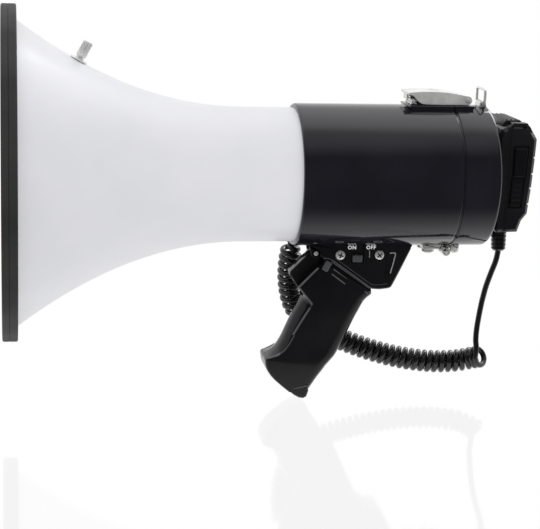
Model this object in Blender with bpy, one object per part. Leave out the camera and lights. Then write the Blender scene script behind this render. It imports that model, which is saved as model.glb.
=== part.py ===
"""Handheld megaphone: reflex horn, battery housing, hinged rear cap, pistol grip and fist microphone.

Metres, +Z up. The horn's mouth faces -X, the microphone is at +X, and the origin is the middle of the grip
where a hand closes round it. The horn's axis is parallel to X, AXIS_Z above the origin.
"""

import math

import bmesh
import bpy
from mathutils import Matrix, Vector

MM = 0.001

# Driving dimensions
AXIS_Z = 110 * MM  # height of the horn's axis
GAP = 0.3 * MM  # running or assembly gap between neighbouring pieces
MOUTH_X = -223 * MM  # front face of the bumper ring
MOUTH_R = 115 * MM  # outer radius of the bumper ring
BUMPER_DEEP = 10.5 * MM
NECK_R = 47 * MM  # outer radius of the horn's neck
NECK_END_X = -12 * MM  # rear end of the neck, inside the housing
FLARE_X = -58 * MM  # where the neck starts to flare
FLARE = 2.4  # r = NECK_R + FLARE * (distance ahead of FLARE_X)^2, per metre
HORN_WALL = 2 * MM
HOUSING_R = 50 * MM
HOUSING_WALL = 2.5 * MM
HOUSING_X = -21.5 * MM  # front lip of the housing
SEAM_X = 90 * MM  # joint between the housing and its rear cap
CAP_X = 117 * MM  # rear face of the cap
CAP_WALL = 3 * MM
HINGE_X, HINGE_Z = SEAM_X, 56.2 * MM  # axis of the cap's hinge
LATCH_X, LATCH_Z = 100 * MM, 164.4 * MM  # axis of the latch lever
RING_X, RING_Z = 112.6 * MM, 161.4 * MM  # axis of the strap ring
TRIGGER_X, TRIGGER_Z = -4 * MM, 55 * MM  # axis of the trigger
STUD_X = -171 * MM  # where the strap stud meets the bell
PAD_HALF, PAD_LOW, PAD_TOP = 14.5 * MM, 157.65 * MM, 160.8 * MM  # flat pad under the latch
BRACKET_HALF = 13 * MM  # half the handle bracket's width
BRACKET_WALL = 2.5 * MM
GRIP_HALF = 14.5 * MM
GRIP_WALL = 2.4 * MM
MIC_HALF = 25 * MM
MIC_SPLIT_X = 128 * MM
MIC_WALL = 2.5 * MM
CELL_R, NUB_R, CELL_LONG, CELL_OFF = 12.7 * MM, 3.3 * MM, 49.5 * MM, 13.6 * MM
CORD_R, COIL_R = 2.1 * MM, 7.9 * MM  # the cord itself, and the outside of its curls
ROUND = 48  # sides of the large turned pieces
SMALL = 16  # sides of the small ones

MATERIALS = {
    "horn_white": ((0.80, 0.80, 0.83), 0.22, 0.0),
    "housing_black": ((0.018, 0.018, 0.024), 0.18, 0.0),
    "grip_black": ((0.022, 0.022, 0.026), 0.30, 0.0),
    "bumper_rubber": ((0.035, 0.036, 0.035), 0.75, 0.0),
    "nickel": ((0.75, 0.74, 0.72), 0.18, 1.0),
    "steel": ((0.62, 0.62, 0.62), 0.32, 1.0),
    "grey_plastic": ((0.38, 0.39, 0.41), 0.45, 0.0),
    "cord_black": ((0.02, 0.02, 0.022), 0.45, 0.0),
    "board_green": ((0.03, 0.16, 0.07), 0.5, 0.0),
    "magnet_dark": ((0.09, 0.09, 0.10), 0.6, 0.2),
    "copper": ((0.72, 0.36, 0.18), 0.35, 1.0),
    "cell_wrap": ((0.45, 0.33, 0.10), 0.35, 0.3),
    "aluminium": ((0.70, 0.71, 0.72), 0.35, 1.0),
    "film": ((0.65, 0.52, 0.30), 0.3, 0.0),
}


def mm(*values):
    return tuple(v * MM for v in values)


def outline(*points):
    return [(x * MM, z * MM) for x, z in points]


def finish_material(name):
    if name in bpy.data.materials:
        return bpy.data.materials[name]
    color, rough, metal = MATERIALS[name]
    material = bpy.data.materials.new(name)
    material.use_nodes = True
    shader = material.node_tree.nodes["Principled BSDF"]
    shader.inputs["Base Color"].default_value = (*color, 1.0)
    shader.inputs["Roughness"].default_value = rough
    shader.inputs["Metallic"].default_value = metal
    material.diffuse_color = (*color, 1.0)
    return material


def make_object(name, mesh_builder, material=None, pivot=(0.0, 0.0, 0.0)):
    """An object of a bmesh in world coordinates, with its origin moved to pivot."""
    bmesh.ops.recalc_face_normals(mesh_builder, faces=mesh_builder.faces)
    bmesh.ops.translate(mesh_builder, verts=mesh_builder.verts, vec=-Vector(pivot))
    mesh = bpy.data.meshes.new(name)
    mesh_builder.to_mesh(mesh)
    mesh_builder.free()
    mesh.shade_smooth()
    mesh.set_sharp_from_angle(angle=math.radians(35))
    piece = bpy.data.objects.new(name, mesh)
    piece.location = pivot
    bpy.context.scene.collection.objects.link(piece)
    if material:
        mesh.materials.append(finish_material(material))
    else:
        piece.hide_render = True
        piece.display_type = "WIRE"
    return piece


def frame_along(direction):
    axis = Vector(direction).normalized()
    side = Vector((1, 0, 0)) if abs(axis.y) > 0.9 else Vector((0, 1, 0))
    side = (side - axis * side.dot(axis)).normalized()
    return axis, side, axis.cross(side)


def turned(name, profile, material=None, sides=ROUND, base=(0, 0, AXIS_Z), along=(1, 0, 0),
           pivot=(0, 0, 0)):
    """A profile of (distance along, radius) points turned round an axis; it may start and end on the axis."""
    axis, side, third = frame_along(along)
    base = Vector(base)
    build = bmesh.new()
    rings = []
    for distance, radius in profile:
        centre = base + axis * distance
        if radius <= 0:
            rings.append([build.verts.new(centre)])
            continue
        angles = [2 * math.pi * i / sides for i in range(sides)]
        rings.append([build.verts.new(centre + radius * (side * math.cos(a) + third * math.sin(a)))
                      for a in angles])
    pairs = list(zip(rings, rings[1:]))
    if len(rings[0]) > 1:
        pairs.append((rings[-1], rings[0]))
    for low, high in pairs:
        for i in range(sides):
            corners = [low[i % len(low)], low[(i + 1) % len(low)],
                       high[(i + 1) % len(high)], high[i % len(high)]]
            corners = list(dict.fromkeys(corners))
            if len(corners) > 2:
                build.faces.new(corners)
    return make_object(name, build, material, pivot)


def rod(name, start, end, radius, material=None, sides=SMALL, pivot=(0, 0, 0)):
    span = Vector(end) - Vector(start)
    profile = [(0, 0), (0, radius), (span.length, radius), (span.length, 0)]
    return turned(name, profile, material, sides, start, span, pivot)


def prism(name, points, low_y, high_y, material=None, edge=0.0, rounded="both", pivot=(0, 0, 0)):
    """An XZ outline extruded along Y, with its long edges rounded by edge on one or both sides."""
    build = bmesh.new()
    face = build.faces.new([build.verts.new((x, low_y, z)) for x, z in points])
    grown = bmesh.ops.extrude_face_region(build, geom=[face])
    moved = [item for item in grown["geom"] if isinstance(item, bmesh.types.BMVert)]
    bmesh.ops.translate(build, verts=moved, vec=(0, high_y - low_y, 0))
    if edge:
        sides = {"both": (low_y, high_y), "low": (low_y,), "high": (high_y,)}[rounded]
        picked = [e for e in build.edges if any(all(abs(v.co.y - y) < 1e-7 for v in e.verts) for y in sides)]
        bmesh.ops.bevel(build, geom=picked, offset=edge, segments=2, profile=0.5, affect="EDGES")
    return make_object(name, build, material, pivot)


def block(name, low, high, material=None, edge=0.0, pivot=(0, 0, 0)):
    """A box between two corners, with every edge rounded by edge."""
    build = bmesh.new()
    bmesh.ops.create_cube(build, size=1.0)
    size = Vector(high) - Vector(low)
    bmesh.ops.scale(build, verts=build.verts, vec=size)
    bmesh.ops.translate(build, verts=build.verts, vec=(Vector(low) + Vector(high)) / 2)
    if edge:
        bmesh.ops.bevel(build, geom=build.edges[:], offset=edge, segments=2, profile=0.5, affect="EDGES")
    return make_object(name, build, material, pivot)


def combine(piece, other, operation):
    boolean = piece.modifiers.new(operation.lower() + "_" + other.name, "BOOLEAN")
    boolean.operation = operation
    boolean.solver = "EXACT"
    boolean.object = other
    return piece


def cut(piece, *cutters):
    for cutter in cutters:
        combine(piece, cutter, "DIFFERENCE")
    return piece


def unite(piece, *additions):
    for addition in additions:
        combine(piece, addition, "UNION")
    return piece


def inset(points, distance):
    """The outline moved inwards by distance, corner by corner."""
    area = sum(a[0] * b[1] - b[0] * a[1] for a, b in zip(points, points[1:] + points[:1]))
    turn = 1 if area > 0 else -1
    moved = []
    for i, point in enumerate(points):
        before = (Vector(point) - Vector(points[i - 1])).normalized()
        after = (Vector(points[(i + 1) % len(points)]) - Vector(point)).normalized()
        inward = Vector((-before.y, before.x)) * turn + Vector((-after.y, after.x)) * turn
        reach = inward.normalized() * distance / max(0.4, inward.length / 2)
        moved.append((point[0] + reach.x, point[1] + reach.y))
    return moved


def arc(centre, radius, start, end, steps):
    """Points on an arc in the XZ plane, angles in degrees from +X towards +Z."""
    angles = [math.radians(start + (end - start) * i / steps) for i in range(steps + 1)]
    return [(centre[0] + radius * math.cos(a), centre[1] + radius * math.sin(a)) for a in angles]


def flare_radius(x):
    ahead = max(0.0, FLARE_X - x)
    return NECK_R + FLARE * ahead * ahead


def smooth_path(route, steps):
    """A Catmull-Rom curve through the route's points."""
    points = [Vector(p) for p in route]
    points = [2 * points[0] - points[1], *points, 2 * points[-1] - points[-2]]
    path = []
    for a, b, c, d in zip(points, points[1:], points[2:], points[3:]):
        for i in range(steps):
            t = i / steps
            path.append(0.5 * (2 * b + (c - a) * t + (2 * a - 5 * b + 4 * c - d) * t**2
                               + (3 * b - a - 3 * c + d) * t**3))
    path.append(points[-2])
    return path


def cord_tube(name, route, steps, radius, resolution):
    curve = bpy.data.curves.new(name, "CURVE")
    curve.dimensions = "3D"
    curve.bevel_depth = radius
    curve.bevel_resolution = resolution
    curve.use_fill_caps = True
    path = smooth_path(route, steps)
    spline = curve.splines.new("POLY")
    spline.points.add(len(path) - 1)
    for point, place in zip(spline.points, path):
        point.co = (*place, 1.0)
    curve.materials.append(finish_material("cord_black"))
    piece = bpy.data.objects.new(name, curve)
    bpy.context.scene.collection.objects.link(piece)
    return piece


def horn_parts():
    rim_x = MOUTH_X + 7 * MM  # front face of the bell's turned-out rim
    rim_r = MOUTH_R - 3 * MM
    steps = 9
    span = [FLARE_X + (rim_x + HORN_WALL - FLARE_X) * i / steps for i in range(steps + 1)]
    outside = [(NECK_END_X, NECK_R)] + [(x, flare_radius(x)) for x in span]
    rim = [(rim_x + HORN_WALL, rim_r), (rim_x, rim_r)]
    inside = [(rim_x, flare_radius(rim_x) - HORN_WALL)]
    inside += [(x, flare_radius(x) - HORN_WALL) for x in reversed(span[:-1])]
    inside += [(NECK_END_X, NECK_R - HORN_WALL)]
    turned("horn_bell", outside + rim + inside, "horn_white")

    lip_x = MOUTH_X + BUMPER_DEEP
    slot_front, slot_back, slot_r = rim_x - GAP, rim_x + HORN_WALL + GAP, rim_r + GAP
    lip_r = MOUTH_R - 6.5 * MM
    turned("bumper_ring", [
        (MOUTH_X, MOUTH_R - 8 * MM), (MOUTH_X, MOUTH_R), (lip_x, MOUTH_R), (lip_x, lip_r),
        (slot_back, lip_r), (slot_back, slot_r), (slot_front, slot_r), (slot_front, MOUTH_R - 8 * MM),
    ], "bumper_rubber")


def reflector_parts():
    cone = turned("reflector_cone", outline(
        (-183, 0), (-181.5, 8), (-176, 15), (-164, 20), (-140, 27), (-108, 38),
        (-108, 36), (-140, 25), (-164, 18), (-174, 13), (-179, 6), (-180.6, 0)), "horn_white", 32)
    turned("reflector_nut", outline((-189, 0), (-188, 3.5), (-185.5, 5), (-183.4, 5), (-183.4, 0)),
           "nickel", SMALL)
    turned("tone_tube", outline((-165, 11), (-165, 13.5), (-80.4, 13.5), (-80.4, 11)), "horn_white", 24)
    hub = turned("spider_hub", outline((-134, 13.8), (-134, 15.6), (-120, 15.6), (-120, 13.8)), None, 24)
    blades = 3
    for i in range(blades):
        blade = block(f"spider_blade_{i}", mm(-133.5, -0.8, 14.6), mm(-120.5, 0.8, 28))
        blade.data.transform(Matrix.Rotation(2 * math.pi * i / blades, 4, "X"))
        blade.location = (0, 0, AXIS_Z)
        unite(cone, blade)
    unite(cone, hub)


def driver_parts():
    turned("driver_back_cover", outline((-34, 34), (-34, 36), (-11.7, 36), (-11.7, 46.9), (-9.4, 46.9),
                                        (-9.4, 6),
                                        (-14, 6), (-14, 34)), "aluminium", 32)
    turned("driver_yoke", outline((-34, 0), (-34, 10.5), (-16.7, 10.5), (-16.7, 30), (-14.3, 30), (-14.3, 0)),
           "steel", 24)
    turned("driver_magnet", outline((-31, 12), (-31, 30), (-17, 30), (-17, 12)), "magnet_dark", 24)
    turned("driver_top_plate", outline((-34, 11.9), (-34, 30), (-31.3, 30), (-31.3, 11.9)), "steel", 24)
    turned("driver_diaphragm", outline((-43.5, 0), (-42, 6), (-37.7, 12), (-37.7, 28), (-37.3, 28), (-37.3,
                                                                                                     11.4),
                                       (-31.5, 11.4), (-31.5, 10.9), (-37.3, 10.9), (-41.5, 6), (-43, 0)),
           "film", 24)
    turned("driver_throat", outline(
        (-34.5, 30.5), (-34.5, 36), (-40, 36), (-58, 16), (-80, 13.5),
        (-80, 11), (-60, 10), (-46, 10), (-44, 14), (-38.3, 16), (-38.3, 30.5)), "aluminium", 24)


def housing_parts():
    inner = HOUSING_R - HOUSING_WALL
    housing = turned("main_housing", [
        (HOUSING_X, NECK_R + GAP), (HOUSING_X, HOUSING_R - 0.8 * MM), (HOUSING_X + 0.8 * MM, HOUSING_R),
        (SEAM_X - GAP / 2, HOUSING_R), (SEAM_X - GAP / 2, inner), (-14.5 * MM, inner),
        (-14.5 * MM, NECK_R + GAP)], "housing_black")
    pad = prism("housing_pad", [(59.5 * MM, PAD_LOW), (57.5 * MM, PAD_TOP), (SEAM_X - GAP / 2, PAD_TOP),
                                (SEAM_X - GAP / 2, PAD_LOW)], -PAD_HALF, PAD_HALF)
    unite(housing, pad)
    turned("battery_bulkhead", outline((9.5, 4), (9.5, 47.2), (11.2, 47.2), (11.2, 4)), "housing_black", 32)
    turned("amplifier_board", outline((-3, 5), (-3, 43), (-1.4, 43), (-1.4, 5)), "board_green", 32)
    block("output_transformer", mm(-1.1, -14, 118), mm(8.9, 8, 138), "steel", 1 * MM)
    block("heat_sink", mm(-1.1, -32, 84), mm(8.5, -8, 102), "aluminium")
    turned("bay_contact_plate", outline((11.5, 4), (11.5, 42), (12.3, 42), (12.3, 4)), "board_green", 24)
    turned("cap_contact_plate", outline((112.5, 4), (112.5, 40), (113.3, 40), (113.3, 4)), "board_green", 24)
    holder = block("battery_holder", mm(13, -0.6, 66), mm(88, 0.6, 154), "housing_black")
    unite(holder, block("holder_shelf", mm(13, -44, 109.4), mm(88, 44, 110.6)))
    number = 1
    nub = 1.5 * MM
    for side in (-1, 1):
        for level in (1, -1):
            profile = [(0, 0), (0, CELL_R)]
            for end in (CELL_LONG, 2 * CELL_LONG):
                profile += [(end - nub, CELL_R), (end - nub, NUB_R), (end, NUB_R)]
                profile += [(end, CELL_R)] if end == CELL_LONG else [(end, 0)]
            turned(f"battery_stack_{number}", profile, "cell_wrap", 14,
                   (12.7 * MM, side * CELL_OFF, AXIS_Z + level * CELL_OFF))
            number += 1


def cap_parts():
    face = CAP_X - CAP_WALL
    inner = HOUSING_R - HOUSING_WALL
    cap = turned("rear_cap", [
        (CAP_X, 0), (CAP_X, HOUSING_R - 3 * MM), (CAP_X - 0.9 * MM, HOUSING_R - 0.9 * MM),
        (CAP_X - 3 * MM, HOUSING_R), (SEAM_X + GAP / 2, HOUSING_R), (SEAM_X + GAP / 2, inner),
        (face, inner), (face, 0)], "housing_black", pivot=(HINGE_X, 0, HINGE_Z))
    unite(cap, prism("cap_pad", [(SEAM_X + GAP / 2, PAD_LOW), (SEAM_X + GAP / 2, PAD_TOP),
                                 (104.5 * MM, PAD_TOP), (103 * MM, PAD_LOW)], -PAD_HALF, PAD_HALF))

    ring_half, ring_top = 10 * MM, 172 * MM
    corner = 3 * MM
    loop = []
    for y, z, start in ((ring_half, ring_top, 0), (-ring_half, ring_top, 90), (-ring_half, RING_Z, 180),
                        (ring_half, RING_Z, 270)):
        centre = (y - math.copysign(corner, y), z - math.copysign(corner, z - 165 * MM))
        loop += arc(centre, corner, start, start + 90, 3)
    ring_wire("strap_ring", loop, 1 * MM)
    clip = block("strap_ring_clip", mm(109.4, -6, 157), mm(115.8, 6, 164), "nickel", 0.8 * MM)
    cut(clip, housing_clearance("clip_seat"), rod("clip_bore", (RING_X, -20 * MM, RING_Z),
                                                   (RING_X, 20 * MM, RING_Z), 1.35 * MM, sides=12))

    clip = block("mic_hanger_clip", mm(121, -11, 103), mm(122.8, 11, 126), "steel")
    unite(clip, block("clip_foot", mm(117.3, -11, 103), mm(121.5, 11, 107)))
    cut(clip, block("clip_slot", mm(115, -3.2, 112), mm(124, 3.2, 130)))


def ring_wire(name, loop, radius):
    """A closed wire through (y, z) points in the plane of the strap ring's axis."""
    build = bmesh.new()
    sides = 8
    rings = []
    for i, (y, z) in enumerate(loop):
        here = Vector((0, y, z))
        before, after = loop[i - 1], loop[(i + 1) % len(loop)]
        run = Vector((0, after[0] - before[0], after[1] - before[1])).normalized()
        out = run.cross(Vector((1, 0, 0)))
        rings.append([build.verts.new(Vector((RING_X, 0, 0)) + here
                                      + radius * (math.cos(a) * Vector((1, 0, 0)) + math.sin(a) * out))
                      for a in [2 * math.pi * k / sides for k in range(sides)]])
    for i, ring in enumerate(rings):
        following = rings[(i + 1) % len(rings)]
        for k in range(sides):
            build.faces.new([ring[k], ring[(k + 1) % sides], following[(k + 1) % sides], following[k]])
    return make_object(name, build, "nickel", (RING_X, 0, RING_Z))


def housing_clearance(name):
    return rod(name, (HOUSING_X - 20 * MM, 0, AXIS_Z), (CAP_X + 20 * MM, 0, AXIS_Z), HOUSING_R + GAP,
               sides=ROUND)


def latch_parts():
    axis = (LATCH_X, 0, LATCH_Z)
    half, sheet = 11 * MM, 1.2 * MM
    tail = arc((LATCH_X, LATCH_Z), 3.3 * MM, -90, 60, 5)
    crown = outline((92, 169), (79, 170.4), (66, 170.4), (57.2, 169.4))
    flank = outline((57.2, 168.3), (61, 167.8), (66.5, 161.3))
    lever = prism("latch_lever", tail + crown + flank, -half, half, "steel", pivot=axis)
    under = outline((50, 150), (112, 150), (112, 164.8), (102, 166.4), (92, 167.9), (79, 169.2), (66, 169.2),
                    (50, 167.1))
    cut(lever, prism("lever_channel", under, -half + sheet, half - sheet))
    unite(lever, block("lever_tooth", mm(57.6, -5, 164.2), mm(58.6, 5, 168.9)))
    cut(lever, rod("lever_bore", (LATCH_X, -20 * MM, LATCH_Z), (LATCH_X, 20 * MM, LATCH_Z), 1.25 * MM,
                   sides=12),
        block("lever_slot", mm(77, -2, 160), mm(79.2, 5, 175)))
    rod("latch_pin", (LATCH_X, -11.9 * MM, LATCH_Z), (LATCH_X, 11.9 * MM, LATCH_Z), 0.95 * MM, "nickel", 12)

    base = block("latch_bracket", mm(94, -8.4, 161.1), mm(103, 8.4, 162), "steel")
    for i, side in enumerate((-1, 1)):
        lug = arc((LATCH_X, LATCH_Z), 2 * MM, -30, 210, 6)
        low_y, high_y = sorted((side * 6.8 * MM, side * 8.4 * MM))
        unite(base, prism(f"latch_lug_{i}", lug + outline((96.5, 161.3), (102.3, 161.3)), low_y, high_y))
    cut(base, rod("bracket_bore", (LATCH_X, -20 * MM, LATCH_Z), (LATCH_X, 20 * MM, LATCH_Z), 1.25 * MM,
                  sides=12))
    catch = block("latch_catch", mm(59.9, -5, 161.1), mm(64, 5, 162.6), "nickel")
    unite(catch, rod("catch_bar", mm(61.6, -9.2, 163.4), mm(61.6, 9.2, 163.4), 1.5 * MM, sides=12))


def hinge_parts():
    knuckle_r, bore_r, half, split = 3 * MM, 1.5 * MM, 12 * MM, 4.1 * MM
    seat = housing_clearance("hinge_seat")

    def knuckle(name, low_y, high_y):
        return rod(name, (HINGE_X, low_y, HINGE_Z), (HINGE_X, high_y, HINGE_Z), knuckle_r, sides=12)

    bore = rod("hinge_bore", (HINGE_X, -20 * MM, HINGE_Z), (HINGE_X, 20 * MM, HINGE_Z), bore_r, sides=12)
    front = block("hinge_leaf_front", (73 * MM, -half, 56.5 * MM), (86.6 * MM, half, 64 * MM), "nickel")
    unite(front, knuckle("knuckle_near", -half, -split), knuckle("knuckle_far", split, half))
    for i, side in enumerate((-1, 1)):
        low_y, high_y = sorted((side * split, side * half))
        unite(front, block(f"front_tongue_{i}", (86 * MM, low_y, 56.5 * MM), (90 * MM, high_y, 58.6 * MM)))
    cut(front, seat, bore)

    rear = block("hinge_leaf_rear", (93.4 * MM, -half, 56.5 * MM), (99 * MM, half, 64 * MM), "nickel",
                 pivot=(HINGE_X, 0, HINGE_Z))
    unite(rear, knuckle("knuckle_middle", -split + GAP, split - GAP),
          block("rear_tongue", (90 * MM, -split + GAP, 56.5 * MM), (94 * MM, split - GAP, 58.6 * MM)))
    cut(rear, seat, bore)
    rod("hinge_pin", (HINGE_X, -half - 0.8 * MM, HINGE_Z), (HINGE_X, half + 0.8 * MM, HINGE_Z), 1.2 * MM,
        "steel", 12)


def stud_parts():
    slope = 2 * FLARE * (FLARE_X - STUD_X)
    normal = Vector((slope, 0, 1)).normalized()
    base = Vector((STUD_X, 0, AXIS_Z + flare_radius(STUD_X))) + normal * 0.5 * MM
    turned("strap_stud", outline((0, 0), (0, 6), (1.2, 6), (1.2, 2.8), (3, 2.8), (3.6, 3.5), (13.4, 3.5),
                                 (14, 2.9), (14, 0)), "nickel", SMALL, base, normal)


BRACKET = outline((-17, 74), (-17, 66), (-12, 62.8), (-5.6, 57.6), (-0.7, 52.6), (5.8, 50.9), (35, 30),
                  (42, 29.2), (50, 30.2), (65, 62), (68, 74))
GRIP = outline((-2, 46), (-15.8, 31), (-11.5, 23.5), (-18.7, 9.6), (-25.4, -5.8), (-30.2, -14.6),
               (-38.8, -20.6), (-38.6, -27), (-33.6, -34.6), (-20.6, -46), (-4.8, -44.2),
               (0, -37.2), (7, -27.5), (13.6, -19.5), (20.6, -5.5), (27, 8.8), (31.8, 17.7), (38.6, 24.8),
               (36.4, 28.2), (34.2, 29.4), (5.4, 49.9), (1, 49.4))
BUTT = outline((-20.2, -46.5), (-12.8, -52), (-9.5, -52.4), (-6.2, -50.8), (-4.6, -44.7))


def bracket_parts():
    bracket = prism("handle_bracket", BRACKET, -BRACKET_HALF, BRACKET_HALF, "grip_black", 1.2 * MM)
    room = inset(BRACKET, BRACKET_WALL)
    room = [(x, z + (10 * MM if z > 70 * MM else 0)) for x, z in room]
    cut(bracket, prism("bracket_room", room, -BRACKET_HALF + BRACKET_WALL, BRACKET_HALF - BRACKET_WALL))
    for i, side in enumerate((-1, 1)):
        low_y, high_y = sorted((side * 6.2 * MM, side * 9.4 * MM))
        ear = arc((TRIGGER_X, TRIGGER_Z), 3.8 * MM, 180, 330, 5) + outline((2, 56), (-4, 62), (-9, 60))
        unite(bracket, prism(f"bracket_ear_{i}", ear, low_y, high_y))
    slot_half = 5.9 * MM
    cut(bracket, block("trigger_slot", (-14 * MM, -slot_half, 46 * MM), (3 * MM, slot_half, 60.5 * MM)),
        rod("trigger_bore", (TRIGGER_X, -20 * MM, TRIGGER_Z), (TRIGGER_X, 20 * MM, TRIGGER_Z), 1.8 * MM,
            sides=12),
        block("switch_slot", mm(20, -20, 49), mm(37.5, -9, 55)),
        housing_clearance("bracket_seat"))
    block("switch_body", mm(18.5, -10, 46), mm(36.5, -3, 57), "steel")
    knob = block("switch_knob", mm(21.4, -15.6, 49.5), mm(28.4, -11, 54.5), "grey_plastic", 0.6 * MM)
    unite(knob, block("knob_stem", mm(23, -11.4, 50.5), mm(27, -10.5, 53.5)))
    for number, x in enumerate((12.9 * MM, 41.1 * MM), 1):
        bracket_bolt(f"bracket_bolt_{number}", x, bracket)


def bracket_bolt(name, x, bracket):
    """A cross-head bolt right through the bracket, its dome nut on the far side."""
    height, seat = 54.3 * MM, BRACKET_HALF - 1.3 * MM
    start = (x, 0, height)
    hole = turned(name + "_hole", [(-20 * MM, 0), (-20 * MM, 3.8 * MM), (-seat, 3.8 * MM), (-seat, 1.9 * MM),
                                   (seat, 1.9 * MM), (seat, 3.8 * MM), (20 * MM, 3.8 * MM), (20 * MM, 0)],
                  None, SMALL, start, (0, 1, 0))
    cut(bracket, hole)
    face = BRACKET_HALF + 0.6 * MM
    bolt = turned(name, [(-face, 0), (-face, 2.4 * MM), (-face + 0.7 * MM, 3.5 * MM), (-seat - GAP, 3.5 * MM),
                         (-seat - GAP, 1.6 * MM), (seat + GAP, 1.6 * MM), (seat + GAP, 3.5 * MM),
                         (face, 3 * MM), (face + 1 * MM, 1.5 * MM), (face + 1 * MM, 0)],
                  "nickel", SMALL, start, (0, 1, 0))
    for turn, (wide, tall) in enumerate(((2.2 * MM, 0.45 * MM), (0.45 * MM, 2.2 * MM))):
        cut(bolt, block(f"{name}_cross_{turn}", (x - wide, -20 * MM, height - tall),
                        (x + wide, -face + 0.9 * MM, height + tall)))


def grip_parts():
    slot_half = 5.9 * MM
    trigger_room = prism("trigger_room", outline((-34, 62), (-34, 24), (-13, 24), (-9, 20.5), (3, 30),
                                                 (3.6, 62)),
                         -slot_half, slot_half)
    room = prism("grip_room", inset(GRIP, GRIP_WALL), -GRIP_HALF + GRIP_WALL, GRIP_HALF - GRIP_WALL)
    lock_hole = block("lock_hole", mm(-2.6, -20, 41.6), mm(5.6, -10, 48.6))
    ears = block("ear_room", mm(-12, -9.8, 44), mm(1.5, 9.8, 60))
    for name, side in (("grip_shell_near", -1), ("grip_shell_far", 1)):
        low_y, high_y = sorted((side * GAP / 2, side * GRIP_HALF))
        shell = prism(name, GRIP, low_y, high_y, "grip_black", 3 * MM, "low" if side < 0 else "high")
        cut(shell, room, trigger_room, ears)
        if side < 0:
            cut(shell, lock_hole)
    prism("grip_butt", BUTT, -GRIP_HALF + 0.5 * MM, GRIP_HALF - 0.5 * MM, "grip_black", 1.5 * MM)
    trigger_parts()


def trigger_parts():
    axis = (TRIGGER_X, 0, TRIGGER_Z)
    shape = outline((-5.5, 58.2), (-7.7, 55.2), (-21.4, 41.4), (-22, 39.8), (-16, 30.2), (-8, 26), (-1, 33),
                    (0.4, 46), (-0.4, 55), (-2.2, 58))
    trigger = prism("trigger", shape, -5.5 * MM, 5.5 * MM, "grip_black", 0.8 * MM, pivot=axis)
    cut(trigger, rod("trigger_eye", (TRIGGER_X, -20 * MM, TRIGGER_Z), (TRIGGER_X, 20 * MM, TRIGGER_Z),
                     1.8 * MM, sides=12))
    rod("trigger_pin", (TRIGGER_X, -10 * MM, TRIGGER_Z), (TRIGGER_X, 10 * MM, TRIGGER_Z), 1.5 * MM,
        "nickel", 12)
    block("trigger_switch", mm(7, -4, 28), mm(15, 4, 37), "housing_black", 0.5 * MM)
    block("trigger_lock", mm(-2.2, -16, 42), mm(5.2, -12.4, 48.2), "grey_plastic", 0.6 * MM)
    start, turns, reach = -2.2 * MM, 4, 7.8 * MM
    steps = 10
    spring = [(start + reach * i / (turns * steps), 2.2 * MM * math.cos(2 * math.pi * i / steps),
               29 * MM + 2.2 * MM * math.sin(2 * math.pi * i / steps)) for i in range(turns * steps + 1)]
    wire = cord_tube("trigger_spring", spring, 1, 0.35 * MM, 1)
    wire.data.materials[0] = finish_material("steel")


MIC = outline((119.8, 76.5), (122.5, 72.6), (137.6, 73), (140.2, 81), (144.2, 86.2), (144.8, 94), (146.2,
                                                                                                   105),
              (147.5, 124), (148.2, 139), (146.3, 146), (143, 149.4), (130.5, 149.6), (122.4,
                                                                                       143.6), (119.8, 138))


def microphone_parts():
    back = prism("mic_back_shell", MIC, -MIC_HALF, MIC_HALF, "housing_black", 3 * MM)
    cut(back, block("back_keep", (MIC_SPLIT_X - GAP / 2, -0.04, 0.05), (0.2, 0.04, 0.2)),
        block("clip_pocket", mm(115, -14, 76.4), mm(125.4, 14, 129)))
    front = prism("mic_front_shell", MIC, -MIC_HALF, MIC_HALF, "housing_black", 3 * MM)
    room = inset(MIC, MIC_WALL)
    cut(front, prism("mic_room", room, -MIC_HALF + MIC_WALL, MIC_HALF - MIC_WALL),
        block("front_keep", (0.1, -0.04, 0.05), (MIC_SPLIT_X + GAP / 2, 0.04, 0.2)))

    key = outline((132, 133), (141.4, 133), (138.6, 91), (130.8, 91))
    window = inset(key, -0.4 * MM)
    cut(front, prism("key_window", window, -40 * MM, -15 * MM))
    prism("ptt_key", key, -26.8 * MM, -21.6 * MM, "grip_black", 0.8 * MM)

    face = outline((145.6, 137), (147.7, 137), (145.5, 98), (143.4, 98))
    cut(front, prism("grille_window", inset(outline((143, 137), (152, 137), (150, 98), (140.6, 98)),
                                            -0.3 * MM),
                     -17.3 * MM, 17.3 * MM))
    grille = prism("mic_grille", face, -17 * MM, 17 * MM, "housing_black")
    for i in range(6):
        z = (102 + 6 * i) * MM
        cut(grille, block(f"grille_slot_{i}", (130 * MM, -14 * MM, z), (155 * MM, 14 * MM, z + 2.6 * MM)))
    turned("mic_capsule", outline((132.5, 0), (132.5, 9), (141, 9), (141, 0)), "aluminium", SMALL,
           (0, 4 * MM, 117 * MM))
    board = block("mic_board", mm(128.9, -19, 80), mm(130.3, 19, 142), "board_green")
    unite(board, block("key_switch", mm(130, -17.2, 106), mm(136, -9.5, 118)))
    turned("mic_button", outline((118.9, 0), (118.9, 6), (120.6, 6), (120.6, 2.7), (125.1, 2.7), (125.1, 0)),
           "nickel", SMALL, (0, 0, 115.3 * MM))
    block("mic_slider", mm(131.5, -19.5, 149.9), mm(142.5, -15, 151.7), "grip_black", 0.4 * MM)

    top = Vector(mm(131.4, 0, 72.2))
    down = Vector((0.03, 0, -1))
    ribs = [(0, 0), (0, 5.8)]
    for i in range(5):
        near, far, radius = 1 + 3.2 * i, 3 + 3.2 * i, 5.8 - 0.45 * i
        ribs += [(near, radius), (near + 0.3, radius - 1.1), (far - 0.3, radius - 1.1), (far, radius - 0.2)]
    ribs += [(18, 3.4), (18, 0)]
    turned("mic_strain_relief", outline(*ribs), "cord_black", 12, top, down)


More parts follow.
